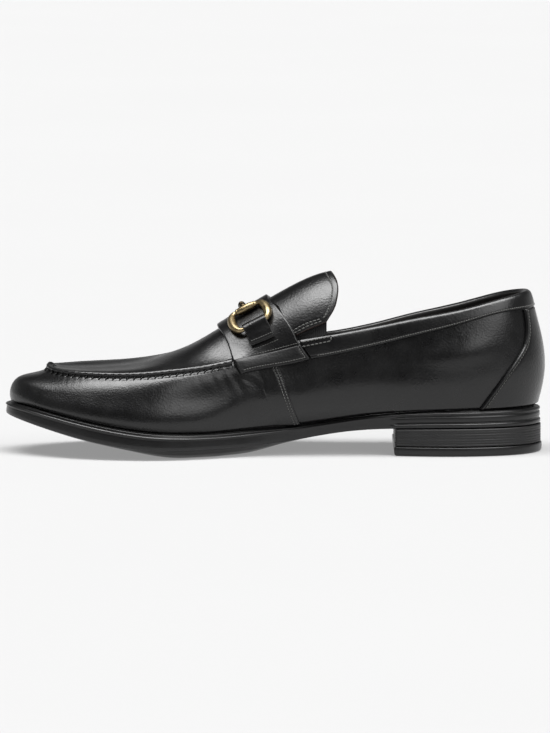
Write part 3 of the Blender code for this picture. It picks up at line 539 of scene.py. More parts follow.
    def sole_row(
        self, turns: Array, inset: Array, low: Curve, high: Curve | None = None, mix: float = 0.0
    ) -> Array:
        """Row of points inside the sole's outline.

        Args:
            turns: Turns of the row.
            inset: Distance in from the outline.
            low: Height curve.
            high: Second height curve.
            mix: Share of the second curve.

        Returns:
            The points.
        """
        start, toward, reach = self.outline_point(turns)
        inset = np.minimum(np.broadcast_to(inset, turns.shape), reach)
        share = turn_to_share(turns)
        depth = inset / reach
        height = low(share) * (1.0 - depth) + low(self.spine_share(share)) * depth
        if high is not None:
            height = height + (high(share) - height) * mix
        xy = start + toward * inset[:, None]
        return np.concatenate([xy, height[:, None]], axis=1)


def cubic_through(knots_d: Array, knots_z: Array, level: Array) -> list[Array]:
    """Natural cubic curve through each row's knots, read at a level between two knots.

    Args:
        knots_d: Distances in from the outline, a row for each point.
        knots_z: Heights.
        level: Level of each point.

    Returns:
        Distances and heights.
    """
    steps = np.hypot(np.diff(knots_d, axis=1), np.diff(knots_z, axis=1))
    count, size = knots_d.shape
    system = np.zeros((count, size, size))
    system[:, 0, 0] = 1.0
    system[:, -1, -1] = 1.0
    for i in range(1, size - 1):
        system[:, i, i - 1] = steps[:, i - 1]
        system[:, i, i] = 2.0 * (steps[:, i - 1] + steps[:, i])
        system[:, i, i + 1] = steps[:, i]
    rows = np.arange(count)
    i = np.clip(level.astype(int), 0, size - 2)
    high = level - i
    low = 1.0 - high
    gap = steps[rows, i]
    target = np.zeros((count, size, 2))
    for k, values in enumerate((knots_d, knots_z)):
        target[:, 1:-1, k] = 6.0 * np.diff(np.diff(values, axis=1) / steps, axis=1)
    bends = np.linalg.solve(system, target)
    found = []
    for k, values in enumerate((knots_d, knots_z)):
        line = low * values[rows, i] + high * values[rows, i + 1]
        bend = (low**3 - low) * bends[rows, i, k] + (high**3 - high) * bends[rows, i + 1, k]
        found.append(line + bend * gap**2 / 6.0)
    return found


def new_piece(
    name: str, mesh: bpy.types.Mesh, materials: list, stands_for: str = ""
) -> bpy.types.Object:
    """Put a finished mesh into the scene as a piece of the shoe.

    Args:
        name: Name of the piece.
        mesh: Its mesh.
        materials: Its materials, in the order of the faces' indices.
        stands_for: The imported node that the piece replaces, if any.

    Returns:
        The object.
    """
    piece = bpy.data.objects.new(name, mesh)
    bpy.context.scene.collection.objects.link(piece)
    for material in materials:
        mesh.materials.append(material)
    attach(piece, "root")
    if stands_for:
        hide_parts(stands_for)
    LOG.info("%s: %d faces", name, len(mesh.polygons))
    return piece


def make_mesh(
    name: str, points: Array, faces: list, indices: list | None = None
) -> bpy.types.Mesh:
    """Smooth mesh from points and faces, with doubled points joined and faces turned outward.

    Args:
        name: Name of the mesh.
        points: Points, one a row.
        faces: Corners of each face.
        indices: Material index of each face.

    Returns:
        The mesh.
    """
    mesh = bpy.data.meshes.new(name)
    mesh.from_pydata(points.tolist(), [], faces)
    if indices is not None:
        mesh.polygons.foreach_set("material_index", np.asarray(indices, np.int32))
    shape = bmesh.new()
    shape.from_mesh(mesh)
    bmesh.ops.remove_doubles(shape, verts=shape.verts, dist=JOIN_DISTANCE)
    bmesh.ops.dissolve_degenerate(shape, edges=shape.edges, dist=LEAST_EDGE)
    bmesh.ops.recalc_face_normals(shape, faces=shape.faces)
    shape.to_mesh(mesh)
    shape.free()
    mesh.polygons.foreach_set("use_smooth", np.ones(len(mesh.polygons), bool))
    return mesh


def grid_faces(rows: int, columns: int, around: bool = False, ring: bool = False) -> list:
    """Corners of the faces of a grid.

    Args:
        rows: Rows of points.
        columns: Points in each row.
        around: Whether each row closes on itself.
        ring: Whether the last row joins the first.

    Returns:
        A list of four-cornered faces.
    """
    i, j = np.meshgrid(
        np.arange(rows if ring else rows - 1),
        np.arange(columns if around else columns - 1),
        indexing="ij",
    )
    k = (j + 1) % columns
    m = (i + 1) % rows
    corners = np.stack([i * columns + j, i * columns + k, m * columns + k, m * columns + j], -1)
    return corners.reshape(-1, 4).tolist()


def rows_mesh(name: str, rows: Array) -> bpy.types.Mesh:
    """Smooth mesh of rows of points that each close on themselves."""
    rows = np.asarray(rows)
    faces = grid_faces(len(rows), rows.shape[1], around=True)
    return make_mesh(name, rows.reshape(-1, 3), faces)


def tube_faces(rings: int, sides: int) -> list:
    """Corners of the faces of a short tube with both ends closed."""
    last_ring = (rings - 1) * sides
    ends = [list(range(sides))[::-1], list(range(last_ring, last_ring + sides))]
    return grid_faces(rings, sides, around=True) + ends


def swept(
    name: str, sections: Array, indices: Array | None = None, closed: bool = False
) -> bpy.types.Mesh:
    """Mesh of closed sections that follow each other.

    Args:
        name: Name of the mesh.
        sections: Points, section by section.
        indices: Material index for each step around a section.
        closed: Whether the last section joins the first; the ends are capped if not.

    Returns:
        The mesh.
    """
    count, size, _ = sections.shape
    faces = grid_faces(count, size, around=True, ring=closed)
    kinds = None
    if indices is not None:
        kinds = list(np.tile(indices, count if closed else count - 1))
    if not closed:
        faces.append(list(range(size))[::-1])
        faces.append([(count - 1) * size + i for i in range(size)])
        if kinds is not None:
            kinds += [0, 0]
    return make_mesh(name, sections.reshape(-1, 3), faces, kinds)


def tube_sections(points: Array, radii: Array, sides: int, closed: bool = False) -> Array:
    """Round sections along a path.

    Args:
        points: The path.
        radii: Radius at each point.
        sides: Points around.
        closed: Whether the path closes on itself.

    Returns:
        The sections.
    """
    points = np.asarray(points, float)
    if closed:
        tangents = np.roll(points, -1, axis=0) - np.roll(points, 1, axis=0)
    else:
        tangents = np.gradient(points, axis=0)
    tangents /= np.linalg.norm(tangents, axis=1, keepdims=True)
    axis = np.cross(tangents[0], [0.0, 0.0, 1.0])
    if np.linalg.norm(axis) < 0.2:
        axis = np.cross(tangents[0], [0.0, 1.0, 0.0])
    angles = np.linspace(0.0, 2.0 * math.pi, sides, endpoint=False)
    found = []
    for point, tangent, radius in zip(points, tangents, radii):
        axis = axis - tangent * (axis @ tangent)
        axis = axis / np.linalg.norm(axis)
        other = np.cross(tangent, axis)
        ring = np.cos(angles)[:, None] * axis + np.sin(angles)[:, None] * other
        found.append(point + ring * radius)
    return np.array(found)


def resample(
    points: Array, normals: Array, pitch: float, start: float, end: float
) -> tuple[Array, Array, Array]:
    """Even places along a path.

    Args:
        points: The path.
        normals: Outward directions along it.
        pitch: Distance from place to place.
        start: Length left out at the start.
        end: Length left out at the end.

    Returns:
        Places, directions along the path and outward directions.
    """
    arc = arc_lengths(points)
    count = max(int(round((arc[-1] - start - end) / pitch)), 1)
    at = start + (np.arange(count) + 0.5) * (arc[-1] - start - end) / count
    places = np.stack([np.interp(at, arc, points[:, k]) for k in range(3)], axis=1)
    outs = np.stack([np.interp(at, arc, normals[:, k]) for k in range(3)], axis=1)
    outs /= np.linalg.norm(outs, axis=1, keepdims=True)
    reach = pitch * 0.3
    ahead = np.stack([np.interp(at + reach, arc, points[:, k]) for k in range(3)], axis=1)
    behind = np.stack([np.interp(at - reach, arc, points[:, k]) for k in range(3)], axis=1)
    along = ahead - behind
    along -= outs * np.sum(along * outs, axis=1, keepdims=True)
    along /= np.linalg.norm(along, axis=1, keepdims=True)
    return places, along, outs


@dataclass
class Thread:
    """Stitches of one kind, gathered into one mesh."""

    name: str
    points: list = field(default_factory=list)
    faces: list = field(default_factory=list)
    kinds: list = field(default_factory=list)
    count: int = 0

    # place along a stitch, from -1 to 1, of each ring of points, and points in a ring
    RINGS = (-1.0, -0.82, -0.35, 0.35, 0.82, 1.0)
    SIDES = 6
    # half a stitch, as a share of the pitch
    HALF_STITCH = 0.44
    # how far a stitch stands up, how far its ends dip, its height and the lift of the needle hole's
    # dark lens of painted shade, as shares of the radius
    STAND = 0.55
    DIP = 1.1
    FLAT = 0.75
    HOLE_LIFT = 0.05
    # how small an end gets
    LEAST_END = 0.02
    HOLE_SIDES = 8

    def add(self, points: Array, faces: list, kind: int = 0) -> None:
        """Add a closed body of its own points."""
        self.faces += [[corner + self.count for corner in face] for face in faces]
        self.kinds += [kind] * len(faces)
        self.points.append(points)
        self.count += len(points)

    def row(
        self,
        path: tuple[Array, Array],
        pitch: float,
        radius: float,
        start: float = 0.0,
        end: float = 0.0,
    ) -> None:
        """Sew a row of stitches, each a short rounded thread with dipped ends and a needle hole
        beside it, drawn as a dark lens of painted shade.

        Args:
            path: Points and outward directions of the row.
            pitch: Length of one stitch.
            radius: Radius of the thread.
            start: Length left bare at the start.
            end: Length left bare at the end.
        """
        places, along, outs = resample(path[0], path[1], pitch, start, end)
        across = np.cross(outs, along)
        angles = np.linspace(0.0, 2.0 * math.pi, self.SIDES, endpoint=False)
        for place, ahead, side, out in zip(places, along, across, outs):
            rings = []
            for t in self.RINGS:
                size = radius * math.sqrt(max(1.0 - t**4, self.LEAST_END))
                lift = radius * (self.STAND - self.DIP * t**4)
                middle = place + ahead * t * pitch * self.HALF_STITCH + out * lift
                rings.append(
                    middle
                    + size * np.cos(angles)[:, None] * side
                    + size * self.FLAT * np.sin(angles)[:, None] * out
                )
            self.add(np.concatenate(rings), tube_faces(len(self.RINGS), self.SIDES))
            # the needle hole beside the stitch is a dark lens of painted shade
            spot = place + ahead * pitch * 0.5 + out * radius * self.HOLE_LIFT
            self.hole(spot, ahead, side, out, radius)

    def hole(self, place: Array, line: Array, cross: Array, out: Array, radius: float) -> None:
        """Add a needle hole: a small dark lens of painted shade that stands just proud of the
        leather.

        Args:
            place: Middle of the hole.
            line: Direction along the row.
            cross: Direction across it.
            out: Outward direction.
            radius: Radius of the thread.
        """
        count = self.HOLE_SIDES
        angles = np.linspace(0.0, 2.0 * math.pi, count, endpoint=False)
        ring = np.cos(angles)[:, None] * line + np.sin(angles)[:, None] * cross
        wide = radius * 1.15
        points = np.concatenate([
            [place + out * wide * 0.22],
            place + ring * wide * 0.75 + out * wide * 0.12,
            place + ring * wide,
            [place - out * wide * 0.4],
        ])
        upper = [(1 + i, 1 + (i + 1) % count) for i in range(count)]
        faces = [[0, i, k] for i, k in upper]
        faces += [[i, i + count, k + count, k] for i, k in upper]
        faces += [[i + count, 2 * count + 1, k + count] for i, k in upper]
        self.add(points, faces, 1)

    def finish(self, thread: bpy.types.Material, hole: bpy.types.Material, slot: str) -> None:
        """Put the gathered stitches into the scene.

        Args:
            thread: Material of the thread.
            hole: Material of the needle holes, a near-black painted shade.
            slot: Not used.
        """
        mesh = make_mesh(self.name, np.concatenate(self.points), self.faces, self.kinds)
        new_piece(self.name, mesh, [thread, hole])


class Edge(Enum):
    """The four edges of a leaf: its first and last row, then its first and last column."""

    FIRST_ROW = 0
    LAST_ROW = 1
    FIRST_COLUMN = 2
    LAST_COLUMN = 3


@dataclass(frozen=True)
class Seam:
    """A row of stitches beside an edge of a leaf, in metres."""

    edge: Edge
    inset: float
    pitch: float = 0.0014
    start: float = 0.0
    end: float = 0.0
    groove: float = 0.00012
    radius: float = 0.00022


@dataclass
class Leaf:
    """A piece of leather with rounded edges, laid over a grid of places and directions."""

    name: str
    middle: Array
    normal: Array
    low: float | Array
    high: float | Array
    radius: float
    seams: tuple[Seam, ...] = ()

    # half width of a stitch groove and how softly it ends
    GROOVE_WIDTH = 0.0006
    GROOVE_FADE = 0.001

    def __post_init__(self) -> None:
        """Work out the two faces of the leaf and the distances to its edges."""
        rows = arc_lengths(self.middle)
        columns = np.swapaxes(arc_lengths(np.swapaxes(self.middle, 0, 1)), 0, 1)
        self.away = {
            Edge.FIRST_ROW: rows,
            Edge.LAST_ROW: rows[-1:] - rows,
            Edge.FIRST_COLUMN: columns,
            Edge.LAST_COLUMN: columns[:, -1:] - columns,
        }
        near = np.minimum.reduce(list(self.away.values()))
        self.round = np.sqrt(1.0 - (1.0 - np.clip(near / self.radius, 0.0, 1.0)) ** 2)
        high = np.broadcast_to(self.high, near.shape).copy()
        for seam in self.seams:
            beside = self.away[seam.edge] - seam.inset
            first, last = self.ends(seam.edge)
            inside = ease((self.away[first] - seam.start) / self.GROOVE_FADE + 0.5)
            inside = inside * ease((self.away[last] - seam.end) / self.GROOVE_FADE + 0.5)
            high -= seam.groove * np.exp(-((beside / self.GROOVE_WIDTH) ** 2)) * inside
        low = np.broadcast_to(self.low, near.shape)
        centre = (low + high) / 2.0
        self.outer = self.middle + self.normal * (centre + (high - centre) * self.round)[..., None]
        self.inner = self.middle + self.normal * (centre - (centre - low) * self.round)[..., None]

    @staticmethod
    def ends(edge: Edge) -> tuple[Edge, Edge]:
        """The two edges that an edge runs between."""
        if edge in (Edge.FIRST_ROW, Edge.LAST_ROW):
            return Edge.FIRST_COLUMN, Edge.LAST_COLUMN
        return Edge.FIRST_ROW, Edge.LAST_ROW

    def beside(self, edge: Edge, inset: float) -> tuple[Array, Array]:
        """Path on the outer face that keeps a distance from an edge.

        Args:
            edge: The edge.
            inset: The distance.

        Returns:
            Points and outward directions.
        """
        across_rows = edge in (Edge.FIRST_ROW, Edge.LAST_ROW)
        away = self.away[edge].T if across_rows else self.away[edge]
        outer = np.swapaxes(self.outer, 0, 1) if across_rows else self.outer
        normal = np.swapaxes(self.normal, 0, 1) if across_rows else self.normal
        if edge in (Edge.LAST_ROW, Edge.LAST_COLUMN):
            away, outer, normal = away[:, ::-1], outer[:, ::-1], normal[:, ::-1]
        points = [[np.interp(inset, a, o[:, k]) for k in range(3)] for a, o in zip(away, outer)]
        outs = [[np.interp(inset, a, n[:, k]) for k in range(3)] for a, n in zip(away, normal)]
        return np.array(points), np.array(outs)

    def sew(self, thread: Thread) -> None:
        """Sew every seam of the leaf."""
        for seam in self.seams:
            path = self.beside(seam.edge, seam.inset)
            thread.row(path, seam.pitch, seam.radius, seam.start, seam.end)

    def build(
        self, materials: list, slot: str, stands_for: str = "", edge_from: float = 0.75
    ) -> bpy.types.Object:
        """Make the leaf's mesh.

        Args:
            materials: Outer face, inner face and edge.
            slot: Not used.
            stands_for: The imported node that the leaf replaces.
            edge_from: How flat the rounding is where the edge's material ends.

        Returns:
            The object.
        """
        rows, columns, _ = self.outer.shape
        faces = grid_faces(rows, columns)
        back = [[a + rows * columns for a in face[::-1]] for face in faces]
        near = self.round[:-1] + self.round[1:]
        edge = ((near[:, :-1] + near[:, 1:]).ravel() / 4.0) < edge_from
        kinds = np.concatenate([np.where(edge, 2, 0), np.where(edge, 2, 1)])
        kinds = np.minimum(kinds, len(materials) - 1)
        points = np.concatenate([self.outer.reshape(-1, 3), self.inner.reshape(-1, 3)])
        mesh = make_mesh(self.name, points, faces + back, kinds)
        return new_piece(self.name, mesh, materials, stands_for)


def linear(code: str) -> tuple[float, float, float, float]:
    """Linear colour of an sRGB hex code."""
    parts = [int(code[i : i + 2], 16) / 255.0 for i in (0, 2, 4)]
    turned = [p / 12.92 if p <= 0.04045 else ((p + 0.055) / 1.055) ** 2.4 for p in parts]
    return (*turned, 1.0)


def add_node(
    tree: bpy.types.NodeTree, kind: str, inputs: dict | None = None, **settings
) -> bpy.types.Node:
    """Add a node with its settings, values and links.

    Args:
        tree: The node tree.
        kind: The node's type.
        inputs: Values or output sockets, by the name or number of the input.
        settings: Properties of the node.

    Returns:
        The node.
    """
    made = tree.nodes.new(kind)
    for name, value in settings.items():
        setattr(made, name, value)
    for name, value in (inputs or {}).items():
        if isinstance(value, bpy.types.NodeSocket):
            tree.links.new(value, made.inputs[name])
        else:
            made.inputs[name].default_value = value
    return made


@dataclass(frozen=True)
class Grain:
    """A surface whose look comes from a fine grain and slow unevenness.

    Sizes are in metres: cell is the size of one grain, depth its height, wave the size of the
    slow unevenness.
    """

    name: str
    dark: str
    light: str
    roughness: float
    spread: float = 0.05
    cell: float = 0.0009
    depth: float = 0.00006
    wave: float = 0.012
    wave_depth: float = 0.0001
    ior: float = 1.5
    coat: float = 0.0
    coat_roughness: float = 0.2
    sheen: float = 0.0
    metallic: float = 0.0

    def make(self) -> bpy.types.Material:
        """Make the material."""
        material = bpy.data.materials.new(self.name)
        material.use_nodes = True
        tree = material.node_tree
        shader = tree.nodes["Principled BSDF"]
        place = add_node(tree, "ShaderNodeTexCoord").outputs["Object"]
        cells = add_node(
            tree,
            "ShaderNodeTexVoronoi",
            {"Vector": place, "Scale": 1.0 / self.cell, "Smoothness": 0.6},
            feature="SMOOTH_F1",
        ).outputs["Distance"]
        fine = add_node(
            tree,
            "ShaderNodeTexNoise",
            {"Vector": place, "Scale": 1.0 / (self.cell * 3.0), "Detail": 4.0},
        ).outputs["Fac"]
        slow = add_node(
            tree,
            "ShaderNodeTexNoise",
            {"Vector": place, "Scale": 1.0 / self.wave, "Detail": 3.0, "Roughness": 0.55},
        ).outputs["Fac"]
        grain = add_node(
            tree, "ShaderNodeMath", {0: cells, 1: fine}, operation="MULTIPLY"
        ).outputs[0]
        low_bump = add_node(
            tree,
            "ShaderNodeBump",
            {"Height": slow, "Strength": 1.0, "Distance": self.wave_depth},
        ).outputs["Normal"]
        bump = add_node(
            tree,
            "ShaderNodeBump",
            {"Height": grain, "Strength": 1.0, "Distance": self.depth, "Normal": low_bump},
        ).outputs["Normal"]
        rough = add_node(
            tree,
            "ShaderNodeMapRange",
            {
                "Value": slow,
                "From Min": 0.3,
                "From Max": 0.7,
                "To Min": self.roughness - self.spread,
                "To Max": self.roughness + self.spread,
            },
        ).outputs["Result"]
        shade = add_node(
            tree,
            "ShaderNodeMix",
            {"Factor": fine, 6: linear(self.dark), 7: linear(self.light)},
            data_type="RGBA",
        )
        tree.links.new(shade.outputs[2], shader.inputs["Base Color"])
        tree.links.new(rough, shader.inputs["Roughness"])
        tree.links.new(bump, shader.inputs["Normal"])
        shader.inputs["IOR"].default_value = self.ior
        shader.inputs["Metallic"].default_value = self.metallic
        shader.inputs["Coat Weight"].default_value = self.coat
        shader.inputs["Coat Roughness"].default_value = self.coat_roughness
        shader.inputs["Sheen Weight"].default_value = self.sheen
        return material


# Full-grain calf, drum dyed black and finished with wax and a light brush: a soft broad gloss
CALF = Grain(
    "polished_calf",
    "060606",
    "0e0e0f",
    0.31,
    cell=0.0011,
    depth=0.00017,
    ior=1.4,
    coat=0.35,
    coat_roughness=0.24,
)
# The same calf under the pull of the last, where the finish lies a little duller
VAMP = replace(CALF, name="lasted_calf", roughness=0.32, spread=0.06, coat_roughness=0.25)
# The turned and beaten end of the strap, where the wax is rubbed dull
TURNED = replace(
    CALF, name="turned_calf", roughness=0.48, depth=0.00020, coat=0.1, coat_roughness=0.2
)
# Cut and inked edge of the leather: no grain, a thin coat of edge paint
INKED = Grain("inked_edge", "141414", "222222", 0.38, cell=0.0005, depth=0.00003)
# Bare edge of the tongue's lining, where red-brown vegetable-tanned leather shows
BARE = Grain("bare_edge", "2a1e1b", "40302b", 0.65, cell=0.0005, depth=0.00004)
# Lining leather, soft and unpolished: fine pores, hardly any gloss
LINED = Grain("lining_leather", "181716", "262422", 0.62, cell=0.0011, depth=0.00005)
# Sock lining on the footbed, smooth lining leather
SOCK = Grain("sock_leather", "1c1a18", "2c2926", 0.55, cell=0.0010, depth=0.00005)
# Moulded rubber of the sole: satin, with the fine spark-eroded grain of the mould
RUBBER = Grain(
    "moulded_rubber", "0c0c0d", "151515", 0.36, cell=0.0006, depth=0.00003, ior=1.4, coat=0.3
)
# Ground rubber of the heel block: rougher than the moulded sole
LIFTED = Grain("ground_rubber", "0e0e0f", "191919", 0.50, cell=0.0006, depth=0.00004, ior=1.52)
# Waxed polyester thread: a dull shine, drawn plain as its twist is too fine to show
THREAD = Grain("waxed_thread", "343433", "545450", 0.45, cell=0.0004, depth=0.00004, sheen=0.3)
# The thicker whipping thread, black and pulled tight into the leather
WHIP = Grain("whipping_thread", "070707", "101010", 0.60, cell=0.0004, depth=0.00004)
# Needle holes: near-black lenses of painted shade, for the shade inside the holes where hardly any
# light comes back
HOLE_PAINTED_SHADE = Grain("needle_hole_painted_shade", "020202", "040404", 0.95, cell=0.0005, depth=0.00001)
# Woven elastic: matt, the rubber cords show as ribs
ELASTIC = Grain("woven_elastic", "0b0b0c", "151516", 0.85, cell=0.0005, depth=0.00006)
# Cast zinc plated in antique brass, tumbled: warm, bright on top and brown in the hollows
BRASS = Grain(
    "antique_brass",
    "6a583c",
    "b5a582",
    0.35,
    spread=0.08,
    cell=0.0006,
    depth=0.00001,
    wave=0.003,
    wave_depth=0.00005,
    metallic=1.0,
)
# The same plating made darker on the small beads: painted shade, a shaded copy of the brass
BRASS_PAINTED_SHADE = replace(
    BRASS,
    name="brass_painted_shade",
    dark="1a1612",
    light="4c4130",
    roughness=0.26,
    spread=0.07,
    wave=0.002,
    wave_depth=0.00003,
)


@dataclass
class Finishes:
    """Every finish of the shoe, made once."""

    made: dict = field(default_factory=dict)

    def get(self, finish: Grain) -> bpy.types.Material:
        """Material of a finish, made on first use."""
        if finish.name not in self.made:
            self.made[finish.name] = finish.make()
        return self.made[finish.name]

    def several(self, *finishes: Grain) -> list:
        """Materials of several finishes."""
        return [self.get(finish) for finish in finishes]


@dataclass
class Part:
    """What every part of the shoe is made from: the last and the finishes."""

    last: Last
    finishes: Finishes


# Creases of the leather.
# side, share and level at the start, share and level at the end, half width in mm, depth in mm
CREASES = (
    (-1, 0.578, 2.60, 0.556, 1.55, 1.7, 0.240),
    (-1, 0.566, 2.35, 0.528, 1.80, 1.3, 0.192),
    (-1, 0.594, 2.62, 0.584, 1.80, 1.6, 0.156),
    (-1, 0.552, 1.95, 0.500, 1.30, 2.4, 0.144),
    (-1, 0.616, 2.70, 0.604, 2.05, 1.5, 0.120),
    (-1, 0.640, 2.72, 0.632, 2.20, 1.4, 0.084),
    (-1, 0.235, 2.55, 0.130, 2.00, 5.0, 0.156),
    (-1, 0.330, 2.30, 0.210, 1.75, 6.0, 0.120),
    (1, 0.580, 2.58, 0.560, 1.60, 1.8, 0.228),
    (1, 0.562, 2.30, 0.520, 1.70, 1.5, 0.180),
    (1, 0.600, 2.62, 0.588, 1.90, 1.6, 0.132),
    (1, 0.545, 1.90, 0.490, 1.25, 2.6, 0.132),
    (1, 0.250, 2.45, 0.140, 1.90, 5.0, 0.144),
)


def crease_relief(last: Last, points: Array) -> Array:
    """Depth of the creases: each is a soft trough with a low ridge beside it.

    Args:
        last: The last.
        points: Points of the leather, one a row.

    Returns:
        How far each point moves outward, in metres.
    """
    relief = np.zeros(len(points))
    for side, share, level, end_share, end_level, wide, deep in CREASES:
        t = np.linspace(0.0, 1.0, 7)
        shares = share + t * (end_share - share)
        path = last.path(side, shares, level + t * (end_level - level))[0]
        near = np.full(len(points), 1.0)
        fade = np.zeros(len(points))
        for k in range(6):
            run = path[k + 1] - path[k]
            at = np.clip(((points - path[k]) @ run) / (run @ run), 0.0, 1.0)
            gap = np.linalg.norm(points - path[k] - at[:, None] * run, axis=1)
            closer = gap < near
            near = np.where(closer, gap, near)
            fade = np.where(closer, (k + at) / 6.0, fade)
        ends = np.sin(math.pi * np.clip(fade, 0.02, 0.98)) ** 0.7
        scaled = near / (wide * MM)
        trough = -np.exp(-(scaled**2)) + 0.45 * np.exp(-((scaled - 1.8) ** 2))
        relief += trough * ends * deep * MM
    return relief


def unevenness(points: Array) -> Array:
    """Slow undulation of lasted leather, about 0.1 mm high and 10 to 30 mm long."""
    x, y, z = (points * 1000.0).T
    waves = np.sin(x / 5.1 + 1.3 * np.sin(z / 7.0)) * np.sin(z / 4.3 + 0.7 * np.sin(x / 9.0))
    waves += 0.6 * np.sin(x / 3.1 - z / 2.9 + 1.0) * np.sin(y / 5.0 + x / 11.0)
    return waves * 0.00003


@dataclass
class MocSeam(Part):
    """Raised seam round the apron: the vamp is gathered, turned up and whip-stitched to it."""

    pitch: float = 0.0040
    step: float = 0.0005
    thread_radius: float = 0.00034
    strap_cover: float = 0.0010
    middle_level: float = 3.4
    hole_level: float = 2.87
    # the part of the seam above the shoulder, in mm, is lower by this share on the outer forepart
    shoulder: float = 0.5
    outer_drop: float = 0.65

    # level, how far the seam stands off the last in mm
    PROFILE = (
        (2.76, -0.30),
        (2.82, -0.06),
        (2.88, 0.12),
        (2.93, 0.20),
        (2.97, 0.10),
        (3.00, -0.05),
        (3.02, 0.40),
        (3.04, 0.95),
        (3.06, 1.55),
        (3.09, 1.96),
        (3.14, 2.14),
        (3.22, 2.26),
        (3.32, 2.36),
        (3.42, 2.38),
        (3.52, 2.16),
        (3.64, 1.66),
        (3.78, 1.04),
        (3.90, 0.46),
        (3.98, 0.06),
        (4.06, -0.30),
        (4.03, -0.80),
        (2.80, -0.80),
    )
    # rows of the profile before it turns back under the seam
    RISING = 19

    def __post_init__(self) -> None:
        """Measure the seam's length round the toe."""
        front = column(STRAP_EDGES, 1)
        self.start = share_to_turn(front(3.5) + self.strap_cover)
        self.angles = np.linspace(self.start, 2.0 * math.pi - self.start, 1201)
        self.arc = arc_lengths(self.last.points(self.wrap(self.angles), self.middle_level))

    @staticmethod
    def wrap(angle: Array) -> Array:
        """Turn of an angle that runs on past the toe to the inner side."""
        return np.where(angle > math.pi, angle - 2.0 * math.pi, angle)

    def phase(self, turn: Array) -> Array:
        """Stitch count along the seam at a turn of either sign."""
        angle = np.where(turn < 0.0, turn + 2.0 * math.pi, turn)
        return np.interp(angle, self.angles, self.arc) / self.pitch

    def build(self) -> None:
        """Make the seam and its stitches."""
        length = self.arc[-1]
        count = int(length / self.step)
        at = np.linspace(0.0, length, count)
        angle = np.interp(at, self.arc, self.angles)
        profile = np.array(self.PROFILE)
        level = np.broadcast_to(profile[:, 0], (count, len(profile)))
        phase = (at / self.pitch)[:, None]
        gather = np.exp(-(((level - 2.92) / 0.06) ** 2))
        pulled = np.cos(2.0 * math.pi * phase + 4.0 * (level - 2.92))
        wall = np.exp(-(((level - 3.10) / 0.10) ** 2))
        offset = profile[:, 1] + gather * (-0.05 - 0.12 * pulled) - wall * 0.14 * pulled
        top = np.exp(-(((level - 3.6) / 0.2) ** 2)) * 0.03
        offset = offset + top * np.sin(phase * 1.9) * np.cos(phase * 0.37)
        turn = self.wrap(angle)[:, None]
        share = turn_to_share(turn)
        outer = ease(turn / 0.3) * ease((share - 0.60) / 0.10) * ease((1.0 - share) / 0.02)
        lowered = self.shoulder + (offset - self.shoulder) * (1.0 - self.outer_drop * outer)
        offset = np.where(offset > self.shoulder, lowered, offset)
        sections = self.last.off(turn + 0.0 * level, level, offset * MM)
        materials = self.finishes.several(CALF)
        new_piece("moc_seam", swept("moc_seam", sections), materials)
        self.whip()

    def whip(self) -> None:
        """Whip the thread over the foot of the seam, a slanted stitch at each gather."""
        thread = Thread("moc_whip_stitches")
        profile = np.array(self.PROFILE[: self.RISING])
        for k in range(1, int(self.arc[-1] / self.pitch)):
            t = np.linspace(0.0, 1.0, 8)
            at = (k - 0.16 + 0.42 * t) * self.pitch
            level = 2.86 + 0.24 * t
            angle = np.interp(at, self.arc, self.angles)
            ground = np.interp(level, profile[:, 0], profile[:, 1])
            rise = ground - 0.18 + 0.56 * np.sin(math.pi * t) ** 0.6
            path = self.last.off(self.wrap(angle), level, rise * MM)
            radii = self.thread_radius * np.sqrt(np.clip(1.0 - (2.0 * t - 1.0) ** 6, 0.15, 1.0))
            sections = tube_sections(path, radii, Thread.SIDES)
            thread.add(sections.reshape(-1, 3), tube_faces(len(t), Thread.SIDES))
            # the needle hole at the foot of each whip stitch is a dark lens of painted shade
            turn = float(self.wrap(np.array(angle[0])))
            out = self.last.normals(turn, self.hole_level)
            place = self.last.points(turn, self.hole_level)
            ahead = self.last.points(turn + 0.01, self.hole_level) - place
            ahead /= np.linalg.norm(ahead)
            place = place + out * 0.00008
            thread.hole(place, ahead, np.cross(out, ahead), out, self.thread_radius * 1.4)
        thread.finish(self.finishes.get(WHIP), self.finishes.get(HOLE_PAINTED_SHADE), "upper_leather")


